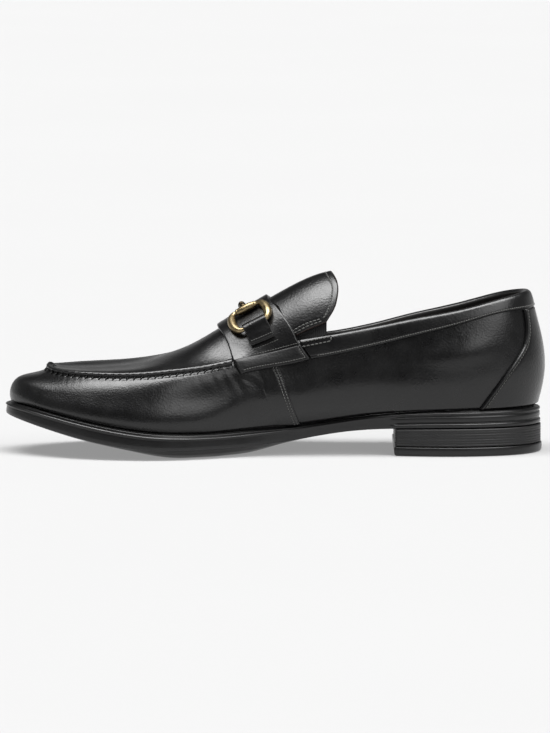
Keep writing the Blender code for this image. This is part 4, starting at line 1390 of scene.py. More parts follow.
@dataclass
class Upper(Part):
    """Vamp, quarters and apron in one skin, with its creases and the gathers at the toe."""

    seam: MocSeam
    wall: float = 0.0020
    throat_front: float = 0.535
    throat_back: float = 0.465
    collar_level: float = 4.0
    fine_from: float = 0.50
    gather_depth: float = 0.00003
    seam_level: float = 2.85

    def turns(self) -> Array:
        """Turns of the columns, finer over the vamp."""
        back = np.linspace(0.0, share_to_turn(self.fine_from), 90)
        front = np.linspace(share_to_turn(self.fine_from), math.pi, 290)[1:]
        return both_sides(np.concatenate([back, front]))

    @staticmethod
    def fullness(share: Array, level: Array) -> Array:
        """Form of the vamp's side: full low down, flat above, with a soft swell on the quarter."""
        fore = ease((share - 0.55) / 0.10) * ease((1.0 - share) / 0.06)
        low = np.exp(-(((level - 0.70) / 0.45) ** 2))
        high = np.exp(-(((level - 1.75) / 0.50) ** 2))
        swell = np.exp(-(((share - 0.165) / 0.075) ** 2)) * np.exp(-(((level - 2.10) / 0.42) ** 2))
        return fore * (0.0004 * low - 0.0006 * high) + 0.0018 * swell

    def build(self) -> None:
        """Make the skin, its wall and its lining."""
        turns = self.turns()
        share = turn_to_share(turns)
        rise = ease((share - self.throat_back) / (self.throat_front - self.throat_back))
        top = self.collar_level + (self.last.levels - self.collar_level) * rise
        side_levels = np.concatenate([
            np.linspace(0.0, 1.6, 12),
            np.linspace(1.6, 3.0, 18)[1:],
            np.linspace(3.0, 4.0, 5)[1:],
        ])
        rows = [np.full(len(turns), level) for level in side_levels]
        over = np.linspace(0.0, 1.0, 15)[1:]
        rows += [self.collar_level + (top - self.collar_level) * t for t in over]
        level = np.array(rows)
        turn = np.broadcast_to(turns, level.shape)
        points = self.last.points(turn, level)
        normals = self.last.normals(turn, level)
        flat = points.reshape(-1, 3)
        relief = (crease_relief(self.last, flat) + unevenness(flat)).reshape(level.shape)
        share = turn_to_share(turn)
        relief += self.fullness(share, level)
        below = np.clip(self.seam_level - level, 0.0, 3.0)
        gathers = np.cos(2.0 * math.pi * (self.seam.phase(turn) + 0.55 * below))
        front = ease((share - 0.57) / 0.06)
        toe = 0.45 + 0.55 * ease((share - 0.70) / 0.2)
        relief -= gathers * self.gather_depth * np.exp(-((below / 0.30) ** 2)) * front * toe
        above = np.exp(-(((level - self.seam_level) / 0.1) ** 2))
        relief *= np.where(level > self.seam_level, above, 1.0)
        relief *= ease(level / 0.4)
        mesh = rows_mesh("upper_skin", points + normals * relief[..., None])
        outward_sheet(mesh, self.last)
        materials = self.finishes.several(VAMP, LINED, INKED)
        piece = new_piece("upper_skin", mesh, materials, "upper")
        wall = piece.modifiers.new("wall", "SOLIDIFY")
        wall.thickness = self.wall
        wall.offset = -1.0
        wall.material_offset = 1
        wall.material_offset_rim = 2


def outward_sheet(mesh: bpy.types.Mesh, last: Last) -> None:
    """Turn the faces of an open sheet away from the middle line of the shoe."""
    score = 0.0
    for polygon in mesh.polygons:
        away = polygon.center.copy()
        away.x = 0.0
        away.y -= last.side_shift
        away.z -= last.heel_height
        score += polygon.area * polygon.normal.dot(away)
    if score < 0.0:
        mesh.flip_normals()


@dataclass
class SideSeam(Part):
    """Rear edge of the vamp, lapped over the quarter and sewn with two rows."""

    side: int
    top: tuple = (0.4925, 2.80)
    foot: tuple = (0.4515, 0.06)
    bow: float = 0.002
    # distance of each row of stitches from the edge in mm, and how far it stands off the last
    insets: tuple = (1.20, 2.90)
    thread_lift: float = 0.00068

    # distance in front of the edge in mm, how far the face stands off the last in mm
    PROFILE = (
        (0.00, 0.10),
        (0.02, 0.45),
        (0.10, 0.72),
        (0.30, 0.84),
        (0.80, 0.84),
        (1.20, 0.62),
        (1.60, 0.82),
        (2.10, 0.84),
        (2.50, 0.80),
        (2.90, 0.56),
        (3.30, 0.72),
        (4.00, 0.66),
        (6.00, 0.44),
        (9.00, 0.20),
        (12.0, 0.02),
        (13.0, -0.14),
        (13.0, -0.60),
        (0.00, -0.60),
    )

    def line(self, level: Array) -> Array:
        """Place along the shoe of the lapped edge at a level."""
        t = (level - self.foot[1]) / (self.top[1] - self.foot[1])
        return self.foot[0] + (self.top[0] - self.foot[0]) * t + self.bow * np.sin(math.pi * t)

    def build(self, thread: Thread) -> None:
        """Make the lap and sew it."""
        levels = np.linspace(self.foot[1], self.top[1], 70)
        profile = np.array(self.PROFILE)
        edge = self.line(levels)[:, None]
        share = edge + profile[:, 0] * MM / self.last.sole_length
        level = np.broadcast_to(levels[:, None], share.shape)
        offset = np.broadcast_to(profile[:, 1] * MM, share.shape)
        turn = self.side * share_to_turn(share)
        sections = self.last.off(turn, level, offset)
        name = side_name("side_seam", self.side)
        new_piece(name, swept(name, sections), self.finishes.several(VAMP))
        for inset in self.insets:
            share = self.line(levels) + inset * MM / self.last.sole_length
            path = self.last.path(self.side, share, levels, self.thread_lift)
            thread.row(path, 0.0017, 0.00026)


def across_crest(across: Array, low: Array, levels: int) -> tuple[Array, Array]:
    """Side and level for a place across the shoe, from -1 on the inner side to 1."""
    side = np.where(across < 0.0, -1.0, 1.0)
    return side, levels - np.abs(across) * (levels - low)


@dataclass
class Strap(Part):
    """Saddle strap over the instep, with its ends folded double and box-stitched."""

    thickness: float = 0.0024
    front_level: float = 2.45
    back_level: float = 2.97
    foot_height: float = 0.84
    foot_thickness: float = 0.0008

    def places(self, across: Array, along: Array) -> tuple[Array, Array]:
        """Turn and level of places on the strap, across it and along the shoe."""
        low = self.front_level + along * (self.back_level - self.front_level)
        side, level = across_crest(across, low, self.last.levels)
        return side * share_to_turn(strip_share(STRAP_EDGES, level, along)), level

    def build(self, thread: Thread) -> None:
        """Make the strap and its doubled ends."""
        half = edge_spaced(76, 0.180, 0.0006)
        along, across = np.meshgrid(edge_spaced(44, 0.044, 0.0006, 0.002), 2.0 * half - 1.0)
        turn, level = self.places(across, along)
        middle = self.last.points(turn, level)
        low = self.last.clearance
        leaf = Leaf(
            "strap", middle, self.last.normals(turn, level), low, low + self.thickness, 0.0007
        )
        leaf.build(self.finishes.several(CALF, LINED, INKED), "strap_leather", "saddle_strap")
        for side in (-1, 1):
            self.build_foot(side, thread)

    def build_foot(self, side: int, thread: Thread) -> None:
        """Make the doubled end of the strap on one side."""
        up = edge_spaced(22, 0.0080, 0.0005, 0.002)
        along, rise = np.meshgrid(edge_spaced(60, 0.043, 0.0005, 0.003), up)
        along = 0.010 + along * 0.985
        corner = np.exp(-along / 0.05) * ease((rise - 0.55) / 0.45) * 0.10
        low = self.front_level + along * (self.back_level - self.front_level)
        level = low + 0.015 + (rise - corner) * self.foot_height * (1.0 - 0.12 * along)
        turn = side * share_to_turn(strip_share(STRAP_EDGES, level, along))
        middle = self.last.points(turn, level)
        base = self.last.clearance + self.thickness
        puff = 0.0004 * np.sin(math.pi * np.clip(rise, 0.0, 1.0)) ** 1.5
        puff = puff * ease(along / 0.12) * ease((1.0 - along) / 0.10)
        seams = (
            Seam(Edge.FIRST_ROW, 0.0013, 0.0015, 0.0020, 0.0016),
            Seam(Edge.LAST_COLUMN, 0.0016, 0.0015, 0.0016, 0.0006),
        )
        leaf = Leaf(
            side_name("strap_end", side),
            middle,
            self.last.normals(turn, level),
            base - 0.0002,
            base + self.foot_thickness + puff,
            0.0006,
            seams,
        )
        leaf.build(self.finishes.several(TURNED, CALF, INKED), "strap_leather")
        leaf.sew(thread)
        run = np.linspace(0.30, 0.97, 60)
        turn, level = self.places(np.full(60, float(side)), run)
        level = level + self.foot_height * (1.0 - 0.12 * run) + 0.13
        path = self.last.path(side, strip_share(STRAP_EDGES, level, run), level, base)
        thread.row(path, 0.0015, 0.00020)


@dataclass
class Tongue(Part):
    """Free end of the apron behind the strap, two layers with a bare red-brown edge."""

    thickness: float = 0.0024
    front_level: float = 4.12
    back_level: float = 4.28

    def build(self, thread: Thread) -> None:
        """Make the tongue."""
        half = edge_spaced(60, 0.080, 0.0008, 0.005)
        along, across = np.meshgrid(edge_spaced(36, 0.035, 0.0008, 0.005), 2.0 * half - 1.0)
        low = self.front_level + along * (self.back_level - self.front_level)
        side, level = across_crest(across, low, self.last.levels)
        turn = side * share_to_turn(strip_share(TONGUE_EDGES, level, along))
        rear = Seam(Edge.LAST_COLUMN, 0.0036, 0.0018, 0.0044, 0.0044, 0.00022, 0.00030)
        seams = (rear,) + tuple(
            Seam(edge, inset, 0.0024, 0.0005, end, 0.0002, 0.00034)
            for edge in (Edge.FIRST_ROW, Edge.LAST_ROW)
            for inset, end in ((0.0017, 0.0040), (0.0036, 0.0060))
        )
        leaf = Leaf(
            "tongue_flap",
            self.last.points(turn, level),
            self.last.normals(turn, level),
            -self.thickness,
            0.0,
            0.0010,
            seams,
        )
        materials = self.finishes.several(CALF, LINED, BARE)
        leaf.build(materials, "tongue_leather", "tongue", 0.62)
        leaf.sew(thread)


@dataclass
class Collar(Part):
    """Band round the opening: folded over the top line and down inside the shoe."""

    steps: int = 280
    corner_lift: float = 0.00164

    # level, rise over the top line in mm, how far it stands off the last in mm
    PROFILE = (
        (3.000, 0.00, 0.70),
        (3.004, 0.00, 1.12),
        (3.016, 0.00, 1.42),
        (3.040, 0.00, 1.60),
        (3.070, 0.00, 1.62),
        (3.100, 0.00, 1.48),
        (3.130, 0.00, 1.60),
        (3.180, 0.00, 1.64),
        (3.300, 0.00, 1.66),
        (3.450, 0.00, 1.66),
        (3.600, 0.00, 1.66),
        (3.720, 0.00, 1.60),
        (3.800, 0.00, 1.48),
        (3.870, 0.00, 1.28),
        (3.930, 0.00, 1.00),
        (3.980, 0.00, 0.68),
        (4.000, 0.14, 0.34),
        (4.000, 0.32, -0.02),
        (4.000, 0.44, -0.45),
        (4.000, 0.48, -0.95),
        (4.000, 0.42, -1.60),
        (4.000, 0.26, -2.30),
        (4.000, 0.00, -2.80),
        (3.950, 0.00, -3.05),
        (3.850, 0.00, -3.20),
        (3.650, 0.00, -3.26),
        (3.400, 0.00, -3.26),
        (3.260, 0.00, -3.20),
        (3.230, 0.00, -2.90),
        (3.240, 0.00, -2.30),
        (3.600, 0.00, -2.20),
        (3.920, 0.00, -2.15),
        (4.000, 0.14, -1.60),
        (4.000, 0.16, -0.40),
        (4.000, 0.10, 0.28),
        (3.900, 0.00, 0.28),
        (3.400, 0.00, 0.28),
        (3.010, 0.00, 0.28),
    )
    # steps of the profile that are lining
    LINING = slice(22, 30)
    STITCH_LEVEL = 3.1

    def build(self, thread: Thread, coarse: Thread) -> None:
        """Make the band and sew its lower edge and the corners that hold the elastic."""
        profile = np.array(self.PROFILE)
        edge = column(BAND_EDGE, 1)
        across = np.sin(np.linspace(-math.pi / 2.0, math.pi / 2.0, self.steps) * 0.96)
        across = across / across[-1]
        reach = share_to_turn(edge(profile[:, 0]))
        turn = across[:, None] * reach[None, :]
        level = np.broadcast_to(profile[:, 0], turn.shape)
        end = np.clip((1.0 - np.abs(across)) * reach[0] * 0.14 / 0.0008, 0.0, 1.0)
        swell = np.sqrt(1.0 - (1.0 - end) ** 2)[:, None]
        offset = profile[:, 2] * np.where(profile[:, 2] > 0.3, 0.35 + 0.65 * swell, 1.0)
        sections = self.last.off(turn, level, offset * MM)
        up = self.last.points(turn, 4.0) - self.last.points(turn, 3.95)
        up = up / np.linalg.norm(up, axis=-1, keepdims=True)
        sections = sections + up * (profile[:, 1] * MM)[None, :, None]
        kinds = np.zeros(len(profile), int)
        kinds[self.LINING] = 1
        mesh = swept("collar_roll", sections, kinds)
        materials = self.finishes.several(CALF, LINED)
        new_piece("collar_roll", mesh, materials, "collar_band")
        reach = float(share_to_turn(edge(self.STITCH_LEVEL)))
        turns = np.linspace(-1.0, 1.0, 500) * reach * 0.985
        normals = self.last.normals(turns, self.STITCH_LEVEL)
        path = self.last.points(turns, self.STITCH_LEVEL) + normals * 0.00150
        thread.row((path, normals), 0.0014, 0.00025, 0.001, 0.001)
        for side in (-1, 1):
            self.corner(side, coarse)

    def corner(self, side: int, coarse: Thread) -> None:
        """Sew the box of coarse stitches that holds the elastic on one side."""
        share = np.linspace(0.4475, 0.3945, 40)
        t = np.linspace(0.0, 1.0, 40)
        for low, high in ((3.86, 3.93), (3.63, 3.70)):
            path = self.last.path(side, share, low + (high - low) * t, self.corner_lift)
            coarse.row(path, 0.0024, 0.00034)
        level = np.linspace(3.70, 3.93, 12)
        path = self.last.path(side, np.full(12, 0.3940), level, self.corner_lift)
        coarse.row(path, 0.0022, 0.00034)


@dataclass
class Counter(Part):
    """Overlay on the back of the shoe, with a corded front edge."""

    thickness: float = 0.0010
    cord_height: float = 0.00095
    cord_inset: float = 0.0010
    cord_width: float = 0.0008

    def build(self, thread: Thread) -> None:
        """Make the overlay and sew its edge."""
        rise = edge_spaced(52, 0.045, 0.0005)
        span = COUNTER_EDGE[-1][0] - COUNTER_EDGE[0][0]
        across, level = np.meshgrid(
            2.0 * edge_spaced(56, 0.095, 0.0006, 0.0045) - 1.0, COUNTER_EDGE[0][0] + span * rise
        )
        turn = across * share_to_turn(column(COUNTER_EDGE, 1)(level))
        middle = self.last.points(turn, level)
        columns = np.swapaxes(arc_lengths(np.swapaxes(middle, 0, 1)), 0, 1)
        near = np.minimum(columns, columns[:, -1:] - columns)
        cord = self.cord_height * np.exp(-(((near - self.cord_inset) / self.cord_width) ** 2))
        seams = tuple(
            Seam(edge, 0.0030, 0.0018, 0.0012, 0.0006, 0.00022, 0.00034)
            for edge in (Edge.FIRST_COLUMN, Edge.LAST_COLUMN)
        )
        low = self.last.clearance
        leaf = Leaf(
            "counter_overlay",
            middle,
            self.last.normals(turn, level),
            -0.0002,
            low + self.thickness + cord,
            0.0007,
            seams,
        )
        leaf.build(self.finishes.several(VAMP, LINED, CALF), "counter_leather", "heel_counter")
        leaf.sew(thread)


@dataclass
class Gore(Part):
    """Elastic panel between the tongue and the quarter, with its ribs."""

    side: int
    front: float = 0.466
    back: float = 0.403
    low: float = 3.70
    high: float = 4.85
    tongue_thickness: float = 0.0024
    thickness: float = 0.0010
    rib: float = 0.0011

    def build(self) -> None:
        """Make the panel."""
        share, level = np.meshgrid(
            np.linspace(self.front, self.back, 150), np.linspace(self.low, self.high, 24)
        )
        turn = self.side * share_to_turn(share)
        depth = -(self.tongue_thickness + self.last.clearance)
        run = (self.front - share) * self.last.sole_length
        ribs = 0.00010 * (np.cos(2.0 * math.pi * run / self.rib) - 1.0)
        edge = 0.0004 * np.exp(-(((share - self.back) * self.last.sole_length / 0.0007) ** 2))
        leaf = Leaf(
            side_name("elastic", self.side),
            self.last.points(turn, level),
            self.last.normals(turn, level),
            depth - self.thickness,
            depth + ribs + edge,
            0.0004,
        )
        leaf.build(self.finishes.several(ELASTIC), "elastic", side_name("gore", self.side))


@dataclass
class BitPlace:
    """Where one ring of the bit lies on the strap: its two bars and their directions."""

    last: Last
    side: int
    width: float = 0.0214
    height: float = 0.0160
    rod_radius: float = 0.0013
    barrel_radius: float = 0.0019
    barrel_taper: float = 0.46
    straight: float = 0.0128
    bow_radius: float = 0.0025
    share: float = 0.5395
    level: float = 4.92
    outer_level: float = 4.66
    lean: float = 18.0
    strap_thickness: float = 0.0024
    tab_width: float = 0.0140
    tab_shift: float = 0.0010
    tab_thickness: float = 0.0012
    tab_seat: float = 0.0002

    def __post_init__(self) -> None:
        """Measure the strap's face and seat the ring on it."""
        last = self.last
        turn = float(self.side * share_to_turn(self.share))
        if self.side > 0:
            self.level = self.outer_level
        self.centre = last.points(turn, self.level)
        self.out = last.normals(turn, self.level)
        up = last.points(turn, self.level + 0.05) - last.points(turn, self.level - 0.05)
        up = up / np.linalg.norm(up)
        along = np.cross(self.out, up)
        along = along * np.sign(along[0])
        lean = math.radians(self.lean)
        self.up = up * math.cos(lean) - along * math.sin(lean)
        self.along = along * math.cos(lean) + up * math.sin(lean)
        shares = self.share + np.linspace(-0.05, 0.05, 15)
        levels = np.linspace(3.0, last.levels, 40)[:, None]
        turns = self.side * share_to_turn(shares)[None, :] + 0.0 * levels
        face = last.off(turns, levels + 0.0 * turns, last.clearance + self.strap_thickness)
        face = face - self.centre
        self.face = face @ self.along, face @ self.up, face @ self.out
        places = np.linspace(-0.5, 0.5, 4) * self.tab_width + self.tab_shift
        low = max(self.ground(-self.height / 2.0, place) for place in places)
        low += self.tab_thickness + 2.0 * last.clearance + self.rod_radius + self.tab_seat
        high = self.ground(self.height / 2.0) + last.clearance * 2.0 + self.barrel_radius
        self.low = self.centre - self.up * self.height / 2.0 + self.out * low
        self.high = self.centre + self.up * self.height / 2.0 + self.out * high
        rise = self.high - self.low
        self.rise = rise / np.linalg.norm(rise)
        self.middle = (self.low + self.high) / 2.0

    def ground(self, height: float, place: float = 0.0) -> float:
        """How far the strap's face stands out at a height and a place on the ring's plane."""
        heights = []
        outs = []
        for along, up, out in zip(*self.face):
            order = np.argsort(along)
            heights.append(np.interp(place, along[order], up[order]))
            outs.append(np.interp(place, along[order], out[order]))
        order = np.argsort(heights)
        return float(np.interp(height, np.array(heights)[order], np.array(outs)[order]))


@dataclass
class Bit(Part):
    """Metal bit: a ring on each side of the strap and a beaded link over the crest."""

    places: tuple[BitPlace, BitPlace]
    link_radius: float = 0.0011
    bead_radius: float = 0.0020
    link_lift: float = 0.0017
    link_gap: float = 0.0008
    link_level: float = 5.72
    beads: int = 9

    def build(self) -> None:
        """Make the two rings and the link."""
        for place in self.places:
            self.build_ring(place)
        self.build_link()

    def build_ring(self, place: BitPlace) -> None:
        """Make one ring: two straight bars, bowed ends and a turned barrel on the upper bar."""
        spots = [(wide, 1.0) for wide in np.linspace(-1.0, 1.0, 41)]
        ends = np.linspace(math.pi / 2.0, -math.pi / 2.0, 26)[1:-1]
        spots += [(1.0 + math.cos(angle) ** 0.9, math.sin(angle)) for angle in ends]
        spots += [(wide, -1.0) for wide in np.linspace(1.0, -1.0, 9)]
        spots += [(-1.0 - math.cos(angle) ** 0.9, math.sin(angle)) for angle in ends[::-1]]
        bow = (place.width - place.straight) / 2.0
        points = []
        radii = []
        for wide, tall in spots:
            past = max(abs(wide) - 1.0, 0.0)
            along = math.copysign(min(abs(wide), 1.0) * place.straight / 2.0 + past * bow, wide)
            up = math.copysign(abs(tall) ** 0.95, tall) * place.height / 2.0
            radius = place.rod_radius + (place.bow_radius - place.rod_radius) * past**1.5
            if tall == 1.0 and abs(wide) < 0.94:
                radius = place.barrel_radius * (1.28 - place.barrel_taper * wide**2)
                radius += 0.00025 * math.exp(-(((abs(wide) - 0.88) / 0.045) ** 2))
            points.append(place.middle + place.along * along + place.rise * up)
            radii.append(radius)
        sections = tube_sections(np.array(points), radii, 20, closed=True)
        name = side_name("bit_ring", place.side)
        mesh = swept(name, sections, closed=True)
        materials = self.finishes.several(BRASS)
        new_piece(name, mesh, materials, side_name("ring", place.side))

    def build_link(self) -> None:
        """Make the link, a row of small round beads along a rod, in the darker copy of the brass
        that paints shade on them.
        """
        inner, outer = self.places
        middle = (inner.high[0] + outer.high[0]) / 2.0
        share = (self.last.heel_x - middle) / self.last.sole_length
        lift = inner.strap_thickness + 2.0 * self.last.clearance + self.link_lift
        points = []
        radii = []
        for step in np.linspace(-1.0, 1.0, 221):
            place = inner if step < 0.0 else outer
            along = abs(step)
            inward = np.array([0.0, -place.side, 0.0])
            end = place.high + inward * (place.barrel_radius + self.link_gap)
            level = self.last.levels - along * (self.last.levels - self.link_level)
            over = self.last.off(float(place.side * share_to_turn(share)), level, lift)
            blend = float(ease((along - 0.5) / 0.5))
            beat = math.cos(step * math.pi * self.beads / 2.0) ** 2
            bead = math.sqrt(max(1.0 - (1.0 - beat) ** 2, 0.0))
            points.append(over * (1.0 - blend) + end * blend)
            fade = 1.0 if along < 0.9 else 0.4
            radii.append(self.link_radius + (self.bead_radius - self.link_radius) * bead * fade)
        sections = tube_sections(np.array(points), radii, 14)
        # the beads take the darker copy of the brass: painted shade
        materials = self.finishes.several(BRASS_PAINTED_SHADE)
        mesh = swept("bit_link_beads", sections)
        new_piece("bit_link_beads", mesh, materials, "bit_link")


@dataclass
class Tab(Part):
    """Leather keeper folded round the lower bar of a ring and sewn down."""

    place: BitPlace
    length: float = 0.0098
    ply: float = 0.0012

    def build(self, thread: Thread) -> None:
        """Make the keeper and the row that holds it."""
        place = self.place
        hole = place.rod_radius + self.last.clearance
        centre_up = -place.height / 2.0
        centre_out = float((place.low - place.centre) @ place.out)
        fold = hole + self.ply / 2.0
        tail = centre_up - self.length
        seat = self.last.clearance + place.tab_seat
        rows = []
        normals = []
        across = edge_spaced(24, place.tab_width, 0.0005, 0.0015)
        for spot in (across - 0.5) * place.tab_width + place.tab_shift:
            path = []
            for t in np.linspace(0.0, 1.0, 16):
                up = tail + (centre_up - tail) * t
                low = place.ground(up, spot) + seat + self.ply * 0.5
                path.append((up, low + (centre_out - fold - low) * ease((t - 0.45) / 0.55)))
            for angle in np.linspace(-math.pi / 2.0, math.pi / 2.0, 16)[1:-1]:
                rise = centre_up + fold * math.cos(angle)
                path.append((rise, centre_out + fold * math.sin(angle)))
            for t in np.linspace(0.0, 1.0, 22):
                up = centre_up + (tail - centre_up) * t
                low = place.ground(up, spot) + seat + self.ply * 1.5 + 0.00005
                bulge = 0.0004 * math.sin(math.pi * t)
                fall = (low - centre_out - fold) * ease(t / 0.8)
                path.append((up, centre_out + fold + fall + bulge))
            path = np.array(path)
            ahead = np.gradient(path, axis=0)
            ahead /= np.linalg.norm(ahead, axis=1, keepdims=True)
            start = place.centre + place.along * spot
            rows.append(start + path[:, :1] * place.up + path[:, 1:] * place.out)
            normals.append(ahead[:, :1] * -place.out + ahead[:, 1:] * place.up)
        middle = np.array(rows)
        normal = np.array(normals)
        half = self.ply / 2.0
        name = side_name("tab_fold", place.side)
        leaf = Leaf(name, middle, -normal, -half, half, 0.0004)
        materials = self.finishes.several(CALF, CALF, INKED)
        leaf.build(materials, "tab_leather", side_name("tab", place.side))
        for below, reach in ((-0.0012, 0.46), (0.0016, 0.56)):
            spots = np.linspace(-reach, reach, 20) * place.tab_width + place.tab_shift
            up = tail - below
            lift = seat + (2.2 * self.ply if below < 0.0 else -seat)
            points = [
                place.centre
                + place.along * spot
                + place.up * up
                + place.out * (place.ground(up, spot) + lift)
                for spot in spots
            ]
            outs = np.broadcast_to(place.out, (len(spots), 3))
            thread.row((np.array(points), outs), 0.0015, 0.00022)


# The sole's side, from the bottom corner up to the lip.
# rise: share of the side's height.  heel, waist, fore: inset from the outline in mm.
SIDE_PROFILE = (
    (0.000, 2.60, 2.00, 2.00),
    (0.012, 1.75, 1.25, 1.25),
    (0.035, 1.20, 0.80, 0.80),
    (0.070, 0.95, 0.52, 0.54),
    (0.120, 0.82, 0.42, 0.46),
    (0.190, 0.78, 0.38, 0.44),
    (0.250, 0.88, 0.35, 0.44),
    (0.285, 1.25, 0.33, 0.45),
    (0.310, 1.75, 0.32, 0.47),
    (0.350, 1.88, 0.30, 0.50),
    (0.390, 1.50, 0.29, 0.53),
    (0.430, 1.20, 0.28, 0.57),
    (0.510, 1.12, 0.26, 0.64),
    (0.600, 1.12, 0.23, 0.74),
    (0.670, 1.14, 0.20, 0.80),
    (0.720, 1.30, 0.18, 0.86),
    (0.755, 1.66, 0.16, 0.92),
    (0.785, 1.72, 0.14, 0.90),
    (0.810, 1.56, 0.12, 0.72),
    (0.835, 1.28, 0.09, 0.46),
    (0.860, 1.08, 0.06, 0.28),
    (0.885, 1.02, 0.06, 0.22),
    (0.910, 1.02, 0.09, 0.24),
    (0.940, 1.08, 0.16, 0.36),
    (0.970, 1.24, 0.30, 0.60),
    (1.000, 1.56, 0.54, 1.00),
)

# The sole's top between the lip and the upper: groove, bead and gap.
# depth: share of the way in to the upper.  lift: height over the lip in mm.
WELT_PROFILE = (
    (0.20, 0.02),
    (0.28, -0.12),
    (0.36, -0.42),
    (0.42, -0.46),
    (0.47, -0.20),
    (0.51, 0.50),
    (0.56, 0.95),
    (0.62, 1.12),
    (0.68, 1.02),
    (0.74, 0.62),
    (0.80, 0.10),
    (0.90, -0.10),
)


@dataclass
class Sole(Part):
    """Moulded rubber sole: rounded underside, grooved side, lip, groove and bead."""

    columns: int = 220
    least_ledge: float = 0.001
    bead_room: float = 0.0005

    def turns(self) -> Array:
        """Turns of the columns, round the sole."""
        half = np.linspace(0.0, math.pi, self.columns)
        breast = float(share_to_turn(self.last.heel_length / self.last.sole_length))
        extra = breast + np.array([-0.03, -0.015, 0.0, 0.015, 0.03])
        return both_sides(np.sort(np.concatenate([half, extra])))

    def side_inset(self, turns: Array, step: tuple) -> Array:
        """Inset of one step of the side, blended from heel to waist to forepart."""
        share = turn_to_share(turns)
        heel_end = self.last.heel_length / self.last.sole_length
        waist = ease((share - heel_end + 0.01) / 0.02)
        fore = ease((share - 0.44) / 0.14)
        back = step[1] + (step[2] - step[1]) * waist
        return (back + (step[3] - back) * fore) * MM

    def underside(self, turns: Array, inset: Array) -> Array:
        """Row of the underside, which drops toward the middle and is flat on the floor."""
        last = self.last
        row = last.sole_row(turns, inset, last.sole_bottom)
        reach = last.outline_point(turns)[2]
        share = turn_to_share(turns)
        depth = np.minimum(inset, reach) / reach
        amount = last.crown(share) * (1.0 - depth) + last.crown(last.spine_share(share)) * depth
        bowl = 1.0 - (1.0 - np.clip(inset / last.crown_reach, 0.0, 1.0)) ** 2
        row[:, 2] = np.maximum(row[:, 2] - last.crown_depth * amount * bowl, 0.0)
        return row

    def build(self) -> None:
        """Make the sole."""
        last = self.last
        turns = self.turns()
        share = turn_to_share(turns)
        reach = last.outline_point(turns)[2]
        rows = [self.underside(turns, reach * depth) for depth in (1.0, 0.85, 0.7)]
        for inset in (0.0153, 0.0120, 0.0090, 0.0060, 0.0040):
            row_inset = np.minimum(inset, reach * 0.6 * inset / last.crown_reach + 0.002)
            rows.append(self.underside(turns, row_inset))
        for step in SIDE_PROFILE:
            inset = self.side_inset(turns, step)
            rows.append(last.sole_row(turns, inset, last.sole_bottom, last.sole_lip, step[0]))
        edge = self.side_inset(turns, SIDE_PROFILE[-1])
        seat = np.maximum(last.seat(turns), edge + self.least_ledge)
        fore = 0.35 + 0.65 * ease((share - 0.46) / 0.10) - 0.75 * ease((share - 0.93) / 0.07)
        rise = last.upper_bottom(share) - last.sole_lip(share)
        for depth, lift in WELT_PROFILE:
            row = last.sole_row(turns, edge + (seat - edge) * depth, last.sole_lip)
            row[:, 2] += np.minimum(lift * MM * fore, rise - self.bead_room)
            rows.append(row)
        gap = np.array([0.0, 0.0, last.clearance])
        rows.append(last.sole_row(turns, seat, last.upper_bottom) - gap)
        rows.append(last.sole_row(turns, reach, last.upper_bottom) - gap)
        mesh = rows_mesh("sole", rows)
        new_piece("sole", mesh, self.finishes.several(RUBBER), "outsole")


@dataclass
class Heel(Part):
    """Heel block of ground layers on a moulded top lift."""

    lift_height: float = 0.0055
    inset: float = 0.0006
    grooves: int = 7
    groove_depth: float = 0.00028
    groove_width: float = 0.00022

    def rows(self, steps: list) -> Array:
        """Rows of a layer.  Each step is an inset and a height curve or height.

        Args:
            steps: Pairs of an inset and a height.

        Returns:
            Points, row by row.
        """
        last = self.last
        breast = float(share_to_turn(last.heel_length / last.sole_length))
        turns = breast * np.linspace(-1.0, 1.0, 181)
        start, toward, _ = last.outline_point(turns)
        share = turn_to_share(turns)
        front = last.heel_x - last.heel_length
        ends = np.linspace(0.0, 1.0, 26)[1:-1, None]
        found = []
        for inset, height in steps:
            xy = start + toward * inset
            xy[:, 0] = np.maximum(xy[:, 0], front + inset)
            z = height(share) if callable(height) else np.full(len(turns), height)
            row = np.concatenate([xy, z[:, None]], axis=1)
            across = row[-1] + (row[0] - row[-1]) * ends
            found.append(np.concatenate([row, across]))
        return np.array(found)

    def build(self) -> None:
        """Make the block and the top lift."""
        bottom = self.lift_height
        last = self.last

        def height_at(t: float, lower: float = 0.0) -> Curve:
            """Height curve at a share of the block's height."""

            def height(share: Array) -> Array:
                """Height over the floor at places along the shoe."""
                return bottom + (last.sole_bottom(share) - last.clearance - bottom) * t - lower

            return height

        steps = [(self.inset * 2.0, height_at(0.0)), (self.inset, height_at(0.04))]
        for k in range(1, self.grooves):
            t = k / self.grooves
            for shift, deep in ((-1.6, 0.0), (-0.8, 0.4), (0.0, 1.0), (0.8, 0.4), (1.6, 0.0)):
                inset = self.inset + deep * self.groove_depth * (1.0 if k % 2 else 0.6)
                steps.append((inset, height_at(t, -shift * self.groove_width)))
        steps += [(self.inset, height_at(0.96)), (self.inset * 2.4, height_at(1.0))]
        self.layer("heel_block", steps, LIFTED, "heel_stack")
        top = self.lift_height - last.clearance
        steps = [
            (0.0020, 0.0),
            (0.0011, 0.00015),
            (0.0005, 0.0005),
            (0.00012, 0.0011),
            (0.0, 0.0018),
            (0.0, 0.0030),
            (0.0, top - 0.0007),
            (0.00012, top - 0.0003),
            (0.0004, top - 0.00008),
            (0.0008, top),
        ]
        self.layer("heel_lift", steps, RUBBER, "top_lift")

    def layer(self, name: str, steps: list, finish: Grain, stands_for: str) -> None:
        """Make one layer of the heel."""
        mesh = swept(name, self.rows(steps))
        new_piece(name, mesh, self.finishes.several(finish), stands_for)


